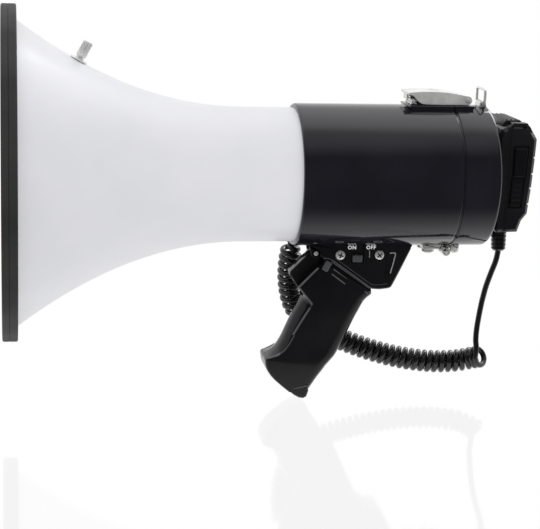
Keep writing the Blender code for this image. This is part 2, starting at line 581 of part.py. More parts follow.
COIL_ROUTE = [mm(*p) for p in (
    (-15, 24.3, 55.3), (-16.2, 26, 47), (-17, 27, 36), (-16.2, 28, 24), (-13, 29, 11), (-6, 30, 0),
    (5, 29.6, -8.5), (17, 27.8, -14.8), (28, 25.4, -19.0), (42, 22.0, -23.6), (59, 18.0, -27.8),
    (76, 14.4, -30.4), (92, 11.2, -31.2), (103, 8.6, -30.4), (110.5, 7, -29.2), (116.5, 4.8, -27.4))]
LEAD_ROUTE = [mm(*p) for p in (
    (119.4, 3.3, -26.3), (119.0, 1.4, -18), (118.9, 0.2, -10), (119.2, -0.2, -3), (120.7, 0.6, 7),
    (122.2, 0.6, 17), (124.4, 0.4, 27.5), (127.6, 0.2, 38), (130.6, 0, 47), (131.95, 0, 53.8))]


def cord_parts():
    angle = math.radians(24)
    outward = Vector((0, math.sin(angle), -math.cos(angle)))
    seat = Vector((-15 * MM, 0, AXIS_Z)) + outward * (HOUSING_R + GAP)
    turned("cord_gland", outline((0, 0), (0, 6.8), (2.4, 6.8), (3, 5.4), (7, 5), (8.4, 4.2), (8.4, 0)),
           "cord_black", 12, seat, outward)
    cord_tube("curly_cord", COIL_ROUTE, 2, COIL_R, 3)
    cord_tube("cord_lead", LEAD_ROUTE, 2, CORD_R, 2)


def build():
    for item in list(bpy.data.objects):
        bpy.data.objects.remove(item, do_unlink=True)
    horn_parts()
    reflector_parts()
    driver_parts()
    housing_parts()
    cap_parts()
    latch_parts()
    hinge_parts()
    stud_parts()
    bracket_parts()
    grip_parts()
    microphone_parts()
    cord_parts()


build()
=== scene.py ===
"""Looks of the handheld megaphone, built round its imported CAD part.

Lengths are in millimetres, in the row frame.
"""

import math

import bmesh
import bpy
from mathutils import Matrix, Vector


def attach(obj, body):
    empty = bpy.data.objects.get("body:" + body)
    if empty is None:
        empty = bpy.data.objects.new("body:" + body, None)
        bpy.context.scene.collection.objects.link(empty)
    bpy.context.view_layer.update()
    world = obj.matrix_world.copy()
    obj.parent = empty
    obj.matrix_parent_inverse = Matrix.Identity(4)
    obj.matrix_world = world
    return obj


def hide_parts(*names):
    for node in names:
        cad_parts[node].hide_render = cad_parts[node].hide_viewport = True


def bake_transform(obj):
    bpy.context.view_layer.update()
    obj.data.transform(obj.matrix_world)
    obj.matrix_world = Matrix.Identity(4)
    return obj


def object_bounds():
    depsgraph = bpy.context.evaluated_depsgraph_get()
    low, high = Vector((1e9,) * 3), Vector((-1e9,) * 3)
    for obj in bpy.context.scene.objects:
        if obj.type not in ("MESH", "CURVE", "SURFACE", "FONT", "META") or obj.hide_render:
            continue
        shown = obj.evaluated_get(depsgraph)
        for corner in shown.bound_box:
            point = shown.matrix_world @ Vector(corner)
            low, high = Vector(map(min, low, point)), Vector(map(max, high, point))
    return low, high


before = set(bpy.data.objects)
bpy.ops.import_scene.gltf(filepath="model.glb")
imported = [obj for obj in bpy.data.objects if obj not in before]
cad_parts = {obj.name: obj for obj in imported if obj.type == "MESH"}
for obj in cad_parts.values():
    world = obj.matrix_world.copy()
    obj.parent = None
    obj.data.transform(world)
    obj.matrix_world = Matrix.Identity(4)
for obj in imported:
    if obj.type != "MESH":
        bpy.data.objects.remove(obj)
cad_low, cad_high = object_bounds()

MM = 0.001
AXIS_Z = 110.0
NECK_R, FLARE_X, FLARE = 47.0, -58.0, 0.0024
MOUTH_X, MOUTH_R = -223.0, 115.0
HOUSING_X, SEAM_X, CAP_X, HOUSING_R = -21.5, 90.0, 117.0, 50.0
HINGE = (90.0, 56.2)
LATCH = (100.0, 164.4)
RING = (112.6, 161.4)
TRIGGER = (-4.0, 55.0)
BOLT_XS, BOLT_Z = (12.9, 41.1), 54.3
CORD_R, COIL_R, TURNS = 2.1, 6.3, 40  # the coil has half a turn more
ROUND = 160  # sides of the large turned pieces
SHARP = 35  # degrees past which an edge stays sharp
WHITE = (1.0, 1.0, 1.0, 1.0)
BOTH = (-1, 1)


def linked(name, data):
    made = bpy.data.objects.new(name, data)
    bpy.context.scene.collection.objects.link(made)
    return made


def evaluated(made):
    """The object's mesh with its modifiers applied."""
    bpy.context.view_layer.update()
    return bpy.data.meshes.new_from_object(made.evaluated_get(bpy.context.evaluated_depsgraph_get()))


def make_camera():
    data = bpy.data.cameras.new("camera")
    data.sensor_width = 36.0
    data.lens = 108.26
    camera = linked("camera", data)
    right = Vector((0.98730621, -0.1562136, 0.02870121))
    up = Vector((0.00567205, 0.21526858, 0.97653841))
    turn = Matrix((right, up, right.cross(up))).transposed().to_4x4()
    camera.matrix_world = Matrix.Translation((-0.218283, -1.111339, 0.291239)) @ turn
    bpy.context.scene.camera = camera


# ---- materials

def add_node(tree, kind, **values):
    """A node with its properties set, or its inputs where it has no such property."""
    made = tree.nodes.new(kind)
    for key, value in values.items():
        if hasattr(made, key):
            setattr(made, key, value)
        else:
            made.inputs[key].default_value = value
    return made


def add_range(tree, value, ends, **values):
    """The value moved from one range to another; ends holds both ranges."""
    made = add_node(tree, "ShaderNodeMapRange", **values)
    for key, number in zip(("From Min", "From Max", "To Min", "To Max"), ends):
        made.inputs[key].default_value = number
    tree.links.new(value, made.inputs["Value"])
    return made.outputs["Result"]


class Surface:
    """A node material that is put together step by step, in object coordinates."""

    def __init__(self, name):
        self.material = bpy.data.materials.new(name)
        self.material.use_nodes = True
        self.tree = self.material.node_tree
        self.shader = self.tree.nodes["Principled BSDF"]
        self.place = self.node("ShaderNodeTexCoord").outputs["Object"]

    def node(self, kind, **values):
        return add_node(self.tree, kind, **values)

    def link(self, source, target):
        self.tree.links.new(source, target)

    def set(self, **values):
        for key, value in values.items():
            self.shader.inputs[key.replace("_", " ")].default_value = value
        return self

    def noise(self, scale, detail=4.0, stretch=(1, 1, 1), rough=0.55):
        mapping = self.node("ShaderNodeMapping", Scale=stretch)
        self.link(self.place, mapping.inputs["Vector"])
        made = self.node("ShaderNodeTexNoise", Scale=scale, Detail=detail, Roughness=rough)
        self.link(mapping.outputs["Vector"], made.inputs["Vector"])
        return made.outputs["Fac"]

    def remap(self, value, *ends):
        return add_range(self.tree, value, ends)

    def tones(self, value, low, high, spread=(0.35, 0.65)):
        """Base colour between two tones, driven by a value."""
        ramp = self.node("ShaderNodeValToRGB")
        for stop, color, at in zip(ramp.color_ramp.elements, (low, high), spread):
            stop.color, stop.position = (*color, 1), at
        self.link(value, ramp.inputs["Fac"])
        self.link(ramp.outputs["Color"], self.shader.inputs["Base Color"])
        return ramp.outputs["Color"]

    def roughness(self, value, low, high):
        self.link(self.remap(value, 0.3, 0.7, low, high), self.shader.inputs["Roughness"])

    def bump(self, value, strength, distance=0.0001):
        made = self.node("ShaderNodeBump", Strength=strength, Distance=distance)
        self.link(value, made.inputs["Height"])
        before = self.shader.inputs["Normal"].links
        if before:
            self.link(before[0].from_socket, made.inputs["Normal"])
        self.link(made.outputs["Normal"], self.shader.inputs["Normal"])


def moulded(name, low, high, rough, grain, strength, coat=0.0, shine=0.5):
    """Moulded plastic or rubber: slow tone drift, uneven gloss and a fine grain."""
    look = Surface(name)
    slow, fine = look.noise(18, 3), look.noise(grain, 3)
    look.tones(slow, low, high)
    look.roughness(look.noise(55, 6), *rough)
    look.bump(fine, strength)
    look.set(Coat_Weight=coat, Coat_Roughness=0.08, Specular_IOR_Level=shine)
    return look.material


def metal(name, low, high, rough, stretch, scale, strength, bare=1.0):
    """Bare or plated metal, with brushing where the noise is stretched."""
    look = Surface(name)
    lines = look.noise(scale, 5, stretch)
    look.tones(lines, low, high, (0.3, 0.7))
    look.roughness(look.noise(90, 5), *rough)
    look.bump(lines, strength, 0.00004)
    look.set(Metallic=bare)
    return look.material


def circuit():
    """Green board with lighter copper traces under the lacquer."""
    look = Surface("circuit")
    cells = look.node("ShaderNodeTexVoronoi", Scale=260.0, feature="DISTANCE_TO_EDGE", distance="MANHATTAN")
    look.link(look.place, cells.inputs["Vector"])
    look.tones(cells.outputs["Distance"], (0.05, 0.20, 0.09), (0.012, 0.085, 0.035), (0.03, 0.08))
    look.roughness(look.noise(120), 0.3, 0.5)
    look.bump(cells.outputs["Distance"], 0.3)
    return look.material


def cell_wrap():
    """Printed sleeve of a C cell: dark body with a warm band towards one end."""
    look = Surface("cell_sleeve")
    split = look.node("ShaderNodeSeparateXYZ")
    look.link(look.place, split.inputs["Vector"])
    along = look.remap(split.outputs["X"], 0.0127, 0.1117, 0.0, 2.0)
    part = look.node("ShaderNodeMath", operation="FRACT")
    look.link(along, part.inputs[0])
    ramp = look.node("ShaderNodeValToRGB")
    ramp.color_ramp.interpolation = "CONSTANT"
    stops = ((0.0, (0.62, 0.60, 0.56)), (0.05, (0.02, 0.02, 0.022)), (0.62, (0.75, 0.52, 0.20)),
             (0.66, (0.55, 0.30, 0.08)), (0.93, (0.70, 0.70, 0.70)))
    for at, color in stops[2:]:
        ramp.color_ramp.elements.new(at)
    for stop, (at, color) in zip(ramp.color_ramp.elements, stops):
        stop.position, stop.color = at, (*color, 1)
    look.link(part.outputs["Value"], ramp.inputs["Fac"])
    look.link(ramp.outputs["Color"], look.shader.inputs["Base Color"])
    look.roughness(look.noise(200), 0.22, 0.36)
    look.bump(look.noise(700), 0.1)
    look.set(Metallic=0.35)
    return look.material


PLASTICS = (  # look, material, both tones, roughness range, grain scale and strength, coat, shine
    ("horn_white", "white_plastic", (0.765, 0.768, 0.80), (0.80, 0.80, 0.83), (0.34, 0.42), 700, 0.015, 0.08),
    ("housing_black", "gloss_black", (0.007, 0.007, 0.011), (0.011, 0.011, 0.016), (0.06, 0.12), 500, 0.03),
    ("grip_black", "satin_black", (0.004, 0.004, 0.005), (0.008, 0.008, 0.009), (0.10, 0.18), 900, 0.05, 0.0,
     0.34),
    # painted highlight: a light grey for the raised edges of the grip and bracket, in place of the
    # reflections along them
    ("painted_edge_highlight", "painted_edge_highlight", (0.055, 0.055, 0.058), (0.085, 0.085, 0.088), (0.10, 0.16), 900, 0.03, 0.6),
    # painted highlight on the edge of the bracket pocket; the same grey is the print of the OFF tick
    ("painted_highlight_and_print", "painted_highlight_and_print", (0.26, 0.26, 0.27), (0.34, 0.34, 0.35), (0.14, 0.20), 900, 0.03, 0.6),
    ("mic_black", "spark_black", (0.006, 0.006, 0.008), (0.012, 0.012, 0.014), (0.26, 0.38), 1500, 0.25, 0.0,
     0.4),
    ("bumper_rubber", "rubber", (0.020, 0.022, 0.020), (0.034, 0.036, 0.033), (0.62, 0.78), 1300, 0.35),
    ("cord_black", "cord_pvc", (0.004, 0.004, 0.005), (0.009, 0.009, 0.010), (0.10, 0.17), 1400, 0.06, 0.0,
     0.7),
    ("grey_plastic", "grey_knob", (0.055, 0.057, 0.062), (0.085, 0.088, 0.094), (0.35, 0.48), 1300, 0.2),
    # matte black: the grille cloth's own colour, and painted shade in the switch slot and the screw crosses
    ("dark", "black_cloth_and_painted_shade", (0.003, 0.003, 0.004), (0.006, 0.006, 0.007), (0.6, 0.8), 600, 0.1),
    ("print_white", "print_white", (0.84, 0.84, 0.84), (0.95, 0.95, 0.95), (0.4, 0.5), 900, 0.05),
    ("film", "resin_film", (0.42, 0.30, 0.14), (0.62, 0.48, 0.26), (0.25, 0.4), 600, 0.2),
    ("magnet_dark", "ferrite", (0.045, 0.045, 0.05), (0.085, 0.085, 0.09), (0.5, 0.7), 900, 0.4),
)
METALS = (  # look, material, both tones, roughness range, stretch, scale, strength, metallic
    ("nickel", "nickel_plate", (0.66, 0.65, 0.63), (0.90, 0.89, 0.87), (0.12, 0.24), (1, 1, 1), 160, 0.15,
     0.62),
    ("steel", "brushed_steel", (0.66, 0.66, 0.65), (0.95, 0.95, 0.94), (0.16, 0.28), (1, 60, 1), 140, 0.4,
     0.5),
    ("aluminium", "cast_aluminium", (0.50, 0.51, 0.52), (0.68, 0.69, 0.70), (0.32, 0.48), (1, 1, 1), 420,
     0.5),
    ("copper", "copper", (0.55, 0.25, 0.12), (0.75, 0.38, 0.20), (0.3, 0.45), (1, 1, 1), 300, 0.2),
)


def make_looks():
    looks = {look: moulded(*values) for look, *values in PLASTICS}
    looks["board_green"] = circuit()
    looks["cell_wrap"] = cell_wrap()
    looks.update({look: metal(*values) for look, *values in METALS})
    return looks


# ---- mesh building

def arc(centre, radius, start, step, count):
    """Points round a centre, a step of degrees apart."""
    turns = (math.radians(start + step * k) for k in range(count))
    return [(centre[0] + radius * math.cos(a), centre[1] + radius * math.sin(a)) for a in turns]


def rounded(points, radius, steps=4):
    """A closed outline with its corners rounded; a point's third value is its own radius."""
    smooth = []
    for i, point in enumerate(points):
        reach = point[2] if len(point) > 2 else radius
        here = Vector(point[:2])
        back, ahead = Vector(points[i - 1][:2]) - here, Vector(points[(i + 1) % len(points)][:2]) - here
        opening = back.angle(ahead)
        if reach <= 0 or opening > 3.1:
            smooth.append(tuple(here))
            continue
        run = min(reach / math.tan(opening / 2), 0.46 * back.length, 0.46 * ahead.length)
        first, last = here + back.normalized() * run, here + ahead.normalized() * run
        for k in range(steps + 1):
            t = k / steps
            smooth.append(tuple(first * (1 - t) ** 2 + here * 2 * t * (1 - t) + last * t * t))
    return smooth


def inset(points, distance):
    area = sum(a[0] * b[1] - b[0] * a[1] for a, b in zip(points, points[1:] + points[:1]))
    turn = 1 if area > 0 else -1
    moved = []
    for i, point in enumerate(points):
        before = (Vector(point) - Vector(points[i - 1])).normalized()
        after = (Vector(points[(i + 1) % len(points)]) - Vector(point)).normalized()
        inward = (Vector((-before.y, before.x)) + Vector((-after.y, after.x))) * turn
        reach = inward.normalized() * distance / max(0.5, inward.length / 2)
        moved.append((point[0] + reach.x, point[1] + reach.y))
    return moved


def axes(along):
    axis = Vector(along).normalized()
    side = Vector((1, 0, 0)) if abs(axis.y) > 0.9 else Vector((0, 1, 0))
    side = (side - axis * side.dot(axis)).normalized()
    return axis, side, axis.cross(side)


def bridge(build, low, high, closed=True):
    count = max(len(low), len(high))
    for i in range(count if closed else count - 1):
        corners = (low[i % len(low)], low[(i + 1) % len(low)], high[(i + 1) % len(high)], high[i % len(high)])
        corners = list(dict.fromkeys(corners))
        if len(corners) > 2:
            build.faces.new(corners)


def skin(build, rings, closed=False):
    """Bridges the rings in order, and caps the two ends or joins them."""
    for low, high in zip(rings, rings[1:] + (rings[:1] if closed else [])):
        bridge(build, low, high)
    if not closed:
        build.faces.new(rings[0])
        build.faces.new(rings[-1])


def turn_profile(build, profile, sides=32, base=(0, 0, AXIS_Z), along=(1, 0, 0), bumps=None):
    """Adds a profile of (distance along, radius) points turned round an axis."""
    axis, side, third = axes(along)
    rings = []
    for distance, radius in profile:
        centre = Vector(base) + axis * distance
        if radius <= 1e-6:
            rings.append([build.verts.new(centre)])
            continue
        ring = []
        for i in range(sides):
            a = 2 * math.pi * i / sides
            r = radius * (1 + bumps(i, distance) if bumps else 1)
            ring.append(build.verts.new(centre + (side * math.cos(a) + third * math.sin(a)) * r))
        rings.append(ring)
    pairs = list(zip(rings, rings[1:]))
    if len(rings[0]) > 1:
        pairs.append((rings[-1], rings[0]))
    for low, high in pairs:
        bridge(build, low, high)


def rod(build, start, end, radius, sides=20, edge=0.2):
    long = (Vector(end) - Vector(start)).length
    edge = min(edge, radius * 0.5, long * 0.3)
    profile = [(0, 0), (0, radius), (long, radius), (long, 0)]
    if edge:
        profile[1:3] = [(0, radius - edge), (edge, radius), (long - edge, radius), (long, radius - edge)]
    turn_profile(build, profile, sides, start, Vector(end) - Vector(start))


def slab(build, points, low_y, high_y, edge=0.0, steps=3, edge_low=None):
    """Adds an XZ outline extruded along Y with rounded long edges."""
    rings = []
    low_edge = edge if edge_low is None else edge_low

    def layer(distance, y):
        rings.append([build.verts.new((x, y, z)) for x,
                      z in (inset(points, distance) if distance else points)])

    if low_edge:
        layer(low_edge + 0.15, low_y)
    for k in range(steps + 1 if low_edge else 1):
        a = math.pi / 2 * (1 - k / steps)
        layer(low_edge * (1 - math.cos(a)), low_y + low_edge * (1 - math.sin(a)))
    for k in range(steps + 1 if edge else 1):
        a = math.pi / 2 * k / steps
        layer(edge * (1 - math.cos(a)), high_y - edge * (1 - math.sin(a)) if edge else high_y)
    if edge:
        layer(edge + 0.15, high_y)
    skin(build, rings)


def brick(build, centre, size, edge=0.3, turn=None):
    """Adds a box with rounded edges, turned about its centre."""
    made = bmesh.ops.create_cube(build, size=1.0)
    fresh = made["verts"]
    bmesh.ops.scale(build, verts=fresh, vec=size)
    if edge:
        edges = list({e for v in fresh for e in v.link_edges})
        grown = bmesh.ops.bevel(build, geom=edges, offset=edge, segments=3, profile=0.5, affect="EDGES")
        fresh = list({v for f in grown["faces"] for v in f.verts} | {v for v in fresh if v.is_valid})
    if turn:
        bmesh.ops.rotate(build, verts=fresh, cent=(0, 0, 0), matrix=turn)
    bmesh.ops.translate(build, verts=fresh, vec=centre)


def sweep(build, path, radius, sides=8, closed=False, flat=1.0):
    """Adds a tube along a path, its frame carried along without twist."""
    path = [Vector(p) for p in path]
    count = len(path)
    runs = []
    for i in range(count):
        before = path[i - 1] if closed or i else path[i]
        after = path[(i + 1) % count] if closed or i < count - 1 else path[i]
        runs.append((after - before).normalized())
    side = runs[0].orthogonal().normalized()
    rings = []
    for i, (point, run) in enumerate(zip(path, runs)):
        side = (side - run * side.dot(run)).normalized()
        up = run.cross(side)
        r = radius[i] if isinstance(radius, (list, tuple)) else radius
        rings.append([build.verts.new(point + r * (side * math.cos(a) + up * flat * math.sin(a)))
                      for a in (2 * math.pi * k / sides for k in range(sides))])
    skin(build, rings, closed)


def smooth_path(route, steps):
    points = [Vector(p) for p in route]
    points = [2 * points[0] - points[1], *points, 2 * points[-1] - points[-2]]
    path = []
    for a, b, c, d in zip(points, points[1:], points[2:], points[3:]):
        for i in range(steps):
            t = i / steps
            path.append(0.5 * (2 * b + (c - a) * t + (2 * a - 5 * b + 4 * c - d) * t**2
                               + (3 * b - a - 3 * c + d) * t**3))
    path.append(points[-2])
    return path


def mesh_object(name, build, angle=SHARP):
    bmesh.ops.recalc_face_normals(build, faces=build.faces)
    bmesh.ops.scale(build, verts=build.verts, vec=(MM, MM, MM))
    mesh = bpy.data.meshes.new(name)
    build.to_mesh(mesh)
    build.free()
    mesh.shade_smooth()
    mesh.set_sharp_from_angle(angle=math.radians(angle))
    return linked(name, mesh)


def carve(made, *cutters):
    """Takes the cutters' solids out of the object, and removes the cutters."""
    for cutter in cutters:
        boolean = made.modifiers.new("carve", "BOOLEAN")
        boolean.operation, boolean.solver, boolean.object = "DIFFERENCE", "MANIFOLD", cutter
    result = evaluated(made)
    made.modifiers.clear()
    made.data = result
    for cutter in cutters:
        bpy.data.objects.remove(cutter)
    result.set_sharp_from_angle(angle=math.radians(SHARP))
    even_out = made.modifiers.new("even_normals", "WEIGHTED_NORMAL")
    even_out.keep_sharp, even_out.weight = True, 90
    return made


def bevelled(made, width, segments=3, angle=38):
    for edge in made.data.edges:
        edge.use_edge_sharp = False
    bevel = made.modifiers.new("soft_edges", "BEVEL")
    bevel.width, bevel.segments, bevel.angle_limit = width * MM, segments, math.radians(angle)
    bevel.limit_method, bevel.harden_normals = "ANGLE", True
    bevel.use_clamp_overlap = True
    return made


def show(made, look, *nodes, slot=None, body="root"):
    """Gives a piece its look and its body, and hides the CAD nodes it replaces; slot is not used."""
    made.data.materials.clear()
    made.data.materials.append(LOOKS[look])
    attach(made, body)
    if nodes:
        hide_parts(*nodes)


def piece(name, build, *args, **kwargs):
    show(mesh_object(name, build), *args, **kwargs)


def solid(name, shape, *args, **kwargs):
    """A cutter or simple object from one of the shape functions above."""
    build = bmesh.new()
    shape(build, *args, **kwargs)
    return mesh_object(name, build)


# ---- horn

def flare(x):
    ahead = max(0.0, FLARE_X - x)
    return NECK_R + FLARE * ahead * ahead


def make_horn():
    rim_x, rim_r, wall = MOUTH_X + 7, MOUTH_R - 3, 2.0
    steps = 40
    span = [FLARE_X + (rim_x + wall - FLARE_X) * i / steps for i in range(steps + 1)]
    outside = [(-12, NECK_R), (-40, NECK_R)] + [(x, flare(x)) for x in span]
    rim = [(rim_x + wall, rim_r), (rim_x, rim_r)]
    inside = [(rim_x, flare(rim_x) - wall)] + [(x, flare(x) - wall) for x in reversed(span[:-1])]
    inside += [(-12, NECK_R - wall)]
    show(solid("bell", turn_profile, outside + rim + inside, ROUND), "horn_white", "horn_bell")

    x, r = MOUTH_X, MOUTH_R
    lip_x, lip_r = x + 10.5, r - 6.5
    ring = rounded([
        (x, r - 8, 1.2), (x, r, 1.6), (x + 4.6, r, 0), (x + 4.9, r - 0.35, 0),
        (x + 5.2, r, 0), (lip_x, r, 1.4), (lip_x, lip_r, 1.0), (rim_x + wall + 0.3, lip_r, 0),
        (rim_x + wall + 0.3, rim_r + 0.3, 0), (rim_x - 0.3, rim_r + 0.3, 0), (rim_x - 0.3, r - 8, 0.6)], 0.5)
    show(solid("bumper", turn_profile, ring, ROUND), "bumper_rubber", "bumper_ring")

    build = bmesh.new()
    cone = rounded([(-183, 0.01, 0), (-182.6, 4), (-181.3, 8.2), (-176, 15), (-164, 20), (-140, 27),
                    (-108.6, 37.9, 0.4),
                    (-108, 37.4, 0.3), (-108.4, 36, 0.4), (-140, 25), (-164, 18), (-174, 13), (-179, 6),
                    (-180.6, 0.01, 0)], 6)
    turn_profile(build, cone, 96)
    turn_profile(build, [(-134, 13.8), (-134, 15.6), (-120, 15.6), (-120, 13.8)], 48)
    for i in range(3):
        turn = Matrix.Rotation(2 * math.pi * i / 3, 3, "X")
        middle = turn @ Vector((0, 0, 21.3))
        brick(build, middle + Vector((-127, 0, AXIS_Z)), (13, 1.6, 13.4), 0.4, turn)
    piece("reflector", build, "horn_white", "reflector_cone")

    build = bmesh.new()
    turn_profile(build, [(-189, 0), (-188.8, 1.6), (-188, 3.3), (-186.6, 4.4), (-185.5, 4.7)], 32)
    turn_profile(build, [(-185.6, 0), (-185.6, 5), (-183.4, 5), (-183.4, 0)], 6)
    piece("reflector_dome_nut", build, "nickel", "reflector_nut")

    slope = 2 * FLARE * (FLARE_X + 171)
    normal = Vector((slope, 0, 1)).normalized()
    base = Vector((-171, 0, AXIS_Z + flare(-171))) + normal * 0.4
    build = bmesh.new()
    turn_profile(build, [(0, 0), (0, 6), (0.5, 6.1), (1.1, 5.7), (1.4, 4.2), (1.5, 0)], 40, base, normal)
    turn_profile(build, [(1.2, 0), (1.2, 2.8), (3, 2.8), (3.1, 0)], 24, base, normal)
    ridged = [(2.9, 0), (2.9, 3.2), (3.5, 3.5), (13.3, 3.5), (14, 3.0), (14.1, 2.3), (14.1, 0)]
    depths = (0.0, -0.035, -0.10, -0.035)
    turn_profile(build, ridged, 80, base, normal, lambda i, d: depths[i % 4] if 3 < d < 14 else -0.05)
    piece("strap_post", build, "steel", "strap_stud", slot="nickel")


# ---- housing and cap

def make_housing():
    left, seam, end, r = HOUSING_X, SEAM_X, CAP_X, HOUSING_R
    inner = r - 2.5
    build = bmesh.new()
    shell = [(left, NECK_R + 0.3), (left, r - 1.5), (left + 0.15, r - 0.9),
             (left + 0.5, r - 0.4), (left + 1.0, r - 0.1), (left + 1.6, r),
             (-12, r), (seam - 1.3, r), (seam - 0.6, r - 0.12), (seam - 0.2, r - 0.5),
             (seam - 0.15, r - 1.1), (seam - 0.15, inner), (-14.5, inner), (-14.5, NECK_R + 0.3)]
    turn_profile(build, shell, ROUND)
    pad = [(60.5, 156.5), (57.6, 160.1), (58.1, 160.8), (seam - 0.15, 160.8), (seam - 0.15, 156.5)]
    slab(build, rounded(pad, 0.35, 2), -14.5, 14.5, 0.5)
    for y in (-9.5, 9.5):
        slab(build, rounded([(62, 160.6), (62.4, 161.4), (88, 161.4), (88.4, 160.6)], 0.2, 2), y - 0.6,
             y + 0.6, 0.2)
    piece("housing", build, "housing_black", "main_housing")

    build = bmesh.new()
    cap = [(end, 0), (end, 22), (end - 0.5, 22.4), (end - 0.5, 24.6), (end, 25), (end, r - 3.2)]
    cap += [(end - 3 * (1 - math.sin(a)), r - 3 + 3 * math.cos(a))
            for a in (math.radians(90 - 15 * k) for k in range(1, 6))]
    cap += [(end - 3, r), (seam + 2.6, r), (seam + 1.9, r - 0.1),
            (seam + 1.4, r - 0.4), (seam + 1.2, r - 0.9), (seam + 0.15, r - 1.1),
            (seam + 0.15, inner),
            (end - 3, inner), (end - 3, 0)]
    turn_profile(build, cap, ROUND)
    pad = [(seam + 0.15, 156.5), (seam + 0.15, 160.8), (103.9, 160.8), (104.4, 160.2), (102.6, 156.5)]
    slab(build, rounded(pad, 0.35, 2), -14.5, 14.5, 0.5)
    piece("cap", build, "housing_black", "rear_cap", body="rear_cap")


def make_ring():
    half, top, corner = 10.0, 172.0, 2.6
    loop = rounded([(-half, top), (half, top), (half, RING[1]), (-half, RING[1])], corner, 6)
    made = solid("ring", sweep, [(RING[0], y, z) for y, z in loop], 1.0, 12, closed=True)
    show(made, "nickel", "strap_ring", body="strap_ring")

    foot = rounded([(109.4, 157.4), (110.0, 160.4), (110.9, 163.0, 1.2), (112.6, 164.0, 1.6),
                    (114.3, 163.0, 1.2),
                    (115.2, 160.4), (115.8, 156.8)], 0.8)
    made = solid("ring_clip", slab, foot, -6, 6, 0.4)
    carve(made, solid("bore", rod, (RING[0], -20, RING[1]), (RING[0], 20, RING[1]), 1.3, 20, 0))
    show(made, "nickel", "strap_ring_clip", body="rear_cap")


def make_latch():
    half, sheet = 11.0, 1.2
    x, z = LATCH
    side = arc(LATCH, 3.3, -90, 15, 11)
    side += [(97, 168.1), (92, 169.1), (86, 169.9), (79, 170.4), (72, 170.5), (66, 170.4), (57.2, 169.6),
             (57.2, 168.1), (60.6, 167.4), (65.0, 163.0), (68.0, 161.5), (76, 161.15), (88, 161.15)]
    made = solid("lever", slab, side, -half, half, 0.35)
    under = [(50, 150), (112, 150), (112, 164.8), (102, 166.4), (97, 167.0), (92, 167.9), (86, 168.7),
             (79, 169.2), (72, 169.3), (66, 169.2), (50, 167.1)]
    slot_turn = Matrix.Rotation(math.radians(38), 3, "Z")
    carve(made, solid("channel", slab, under, sheet - half, half - sheet),
          solid("eye", rod, (x, -20, z), (x, 20, z), 1.3, 20, 0),
          solid("finger_slot", brick, (78.2, 0.4, 170), (2.3, 8.4, 9), 0.9, slot_turn))
    build = bmesh.new()
    build.from_mesh(made.data)
    bmesh.ops.scale(build, verts=build.verts, vec=(1000, 1000, 1000))
    slab(build, rounded([(57.5, 164.2), (58.7, 164.2), (58.9, 168.9), (57.3, 168.9)], 0.2, 2), -5, 5, 0.3)
    bpy.data.objects.remove(made)
    piece("lever", build, "steel", "latch_lever", body="latch_lever")

    build = bmesh.new()
    for end, way in ((-11.9, -1), (11.9, 1)):
        turn_profile(build, [(-1.0, 0), (-1.0, 1.9), (-0.3, 1.9), (0.3, 1.2), (0.45, 0)], 24, (x, end, z),
                     (0, way, 0))
    rod(build, (x, -11.8, z), (x, 11.8, z), 0.95)
    piece("lever_pin", build, "nickel", "latch_pin", body="rear_cap")

    build = bmesh.new()
    slab(build, rounded([(94, 161.1), (94, 161.9), (102, 161.9), (102, 161.1)], 0.2, 2), -8.4, 8.4, 0.2)
    for y in (-7.6, 7.6):
        slab(build, arc(LATCH, 1.8, -30, 30, 9) + [(96.5, 161.3), (101.6, 161.3)], y - 0.8, y + 0.8, 0.2, 2)
    piece("lever_bracket", build, "steel", "latch_bracket", body="rear_cap")

    build = bmesh.new()
    for near, far in ((-8.6, -6.2), (6.2, 8.6)):
        slab(build, rounded([(59.6, 161.0), (60.2, 163.6, 0.8), (62.9, 163.6, 0.8), (64.4, 161.0)], 0.2),
             near, far, 0.3)
    slab(build, rounded([(59.9, 161.0), (59.9, 162.4), (64, 162.4), (64, 161.0)], 0.3), -8, 8, 0.3)
    rod(build, (61.6, -9.2, 163.4), (61.6, 9.2, 163.4), 1.5, 24, 0.4)
    piece("catch", build, "nickel", "latch_catch")


def make_hinge():
    x, z = HINGE
    split = 4.1

    def knuckle(build, low, high):
        long = high - low
        tube = [(0, 1.3), (0, 2.6), (0.4, 3.0), (long - 0.4, 3.0), (long, 2.6), (long, 1.3)]
        turn_profile(build, tube, 32, (x, low, z), (0, 1, 0))

    def screw(build, place, radius):
        head = [(0, 0), (0, radius), (1.9, radius), (2.6, 0.86 * radius), (3.2, 0.55 * radius), (3.4, 0)]
        turn_profile(build, head, 28, place, (0, 0, -1))

    build = bmesh.new()
    for low, high in ((-12, -split), (split, 12)):
        knuckle(build, low, high)
        slab(build, rounded([(84.5, 57.2), (90, 56.5), (90, 59.2), (84.5, 60.4)], 0.3, 2), low, high, 0.3)
    slab(build, rounded([(73, 58.1, 0.8), (86.6, 58.1, 0.6), (86.6, 62, 0.2), (73, 62, 0.2)], 0.5), -12, 12,
         0.7)
    for y in (-7.2, 7.2):
        screw(build, (77.4, y, 58.2), 4.4)
    piece("hinge_front", build, "nickel", "hinge_leaf_front")

    build = bmesh.new()
    knuckle(build, 0.3 - split, split - 0.3)
    slab(build, rounded([(90, 56.5), (94.5, 57.2), (94.5, 60.4), (90, 59.2)], 0.3, 2), 0.3 - split,
         split - 0.3, 0.3)
    slab(build, rounded([(93.4, 58.1, 0.6), (99, 58.1, 0.8), (99, 62, 0.2), (93.4, 62, 0.2)], 0.5), -12, 12,
         0.7)
    for y in (-8.2, 8.2):
        screw(build, (96.6, y, 58.2), 3.2)
    piece("hinge_rear", build, "nickel", "hinge_leaf_rear", body="rear_cap")

    show(solid("hinge_wire", rod, (x, -12.8, z), (x, 12.8, z), 1.2, 20, 0.4), "steel", "hinge_pin")


# ---- bracket and switch

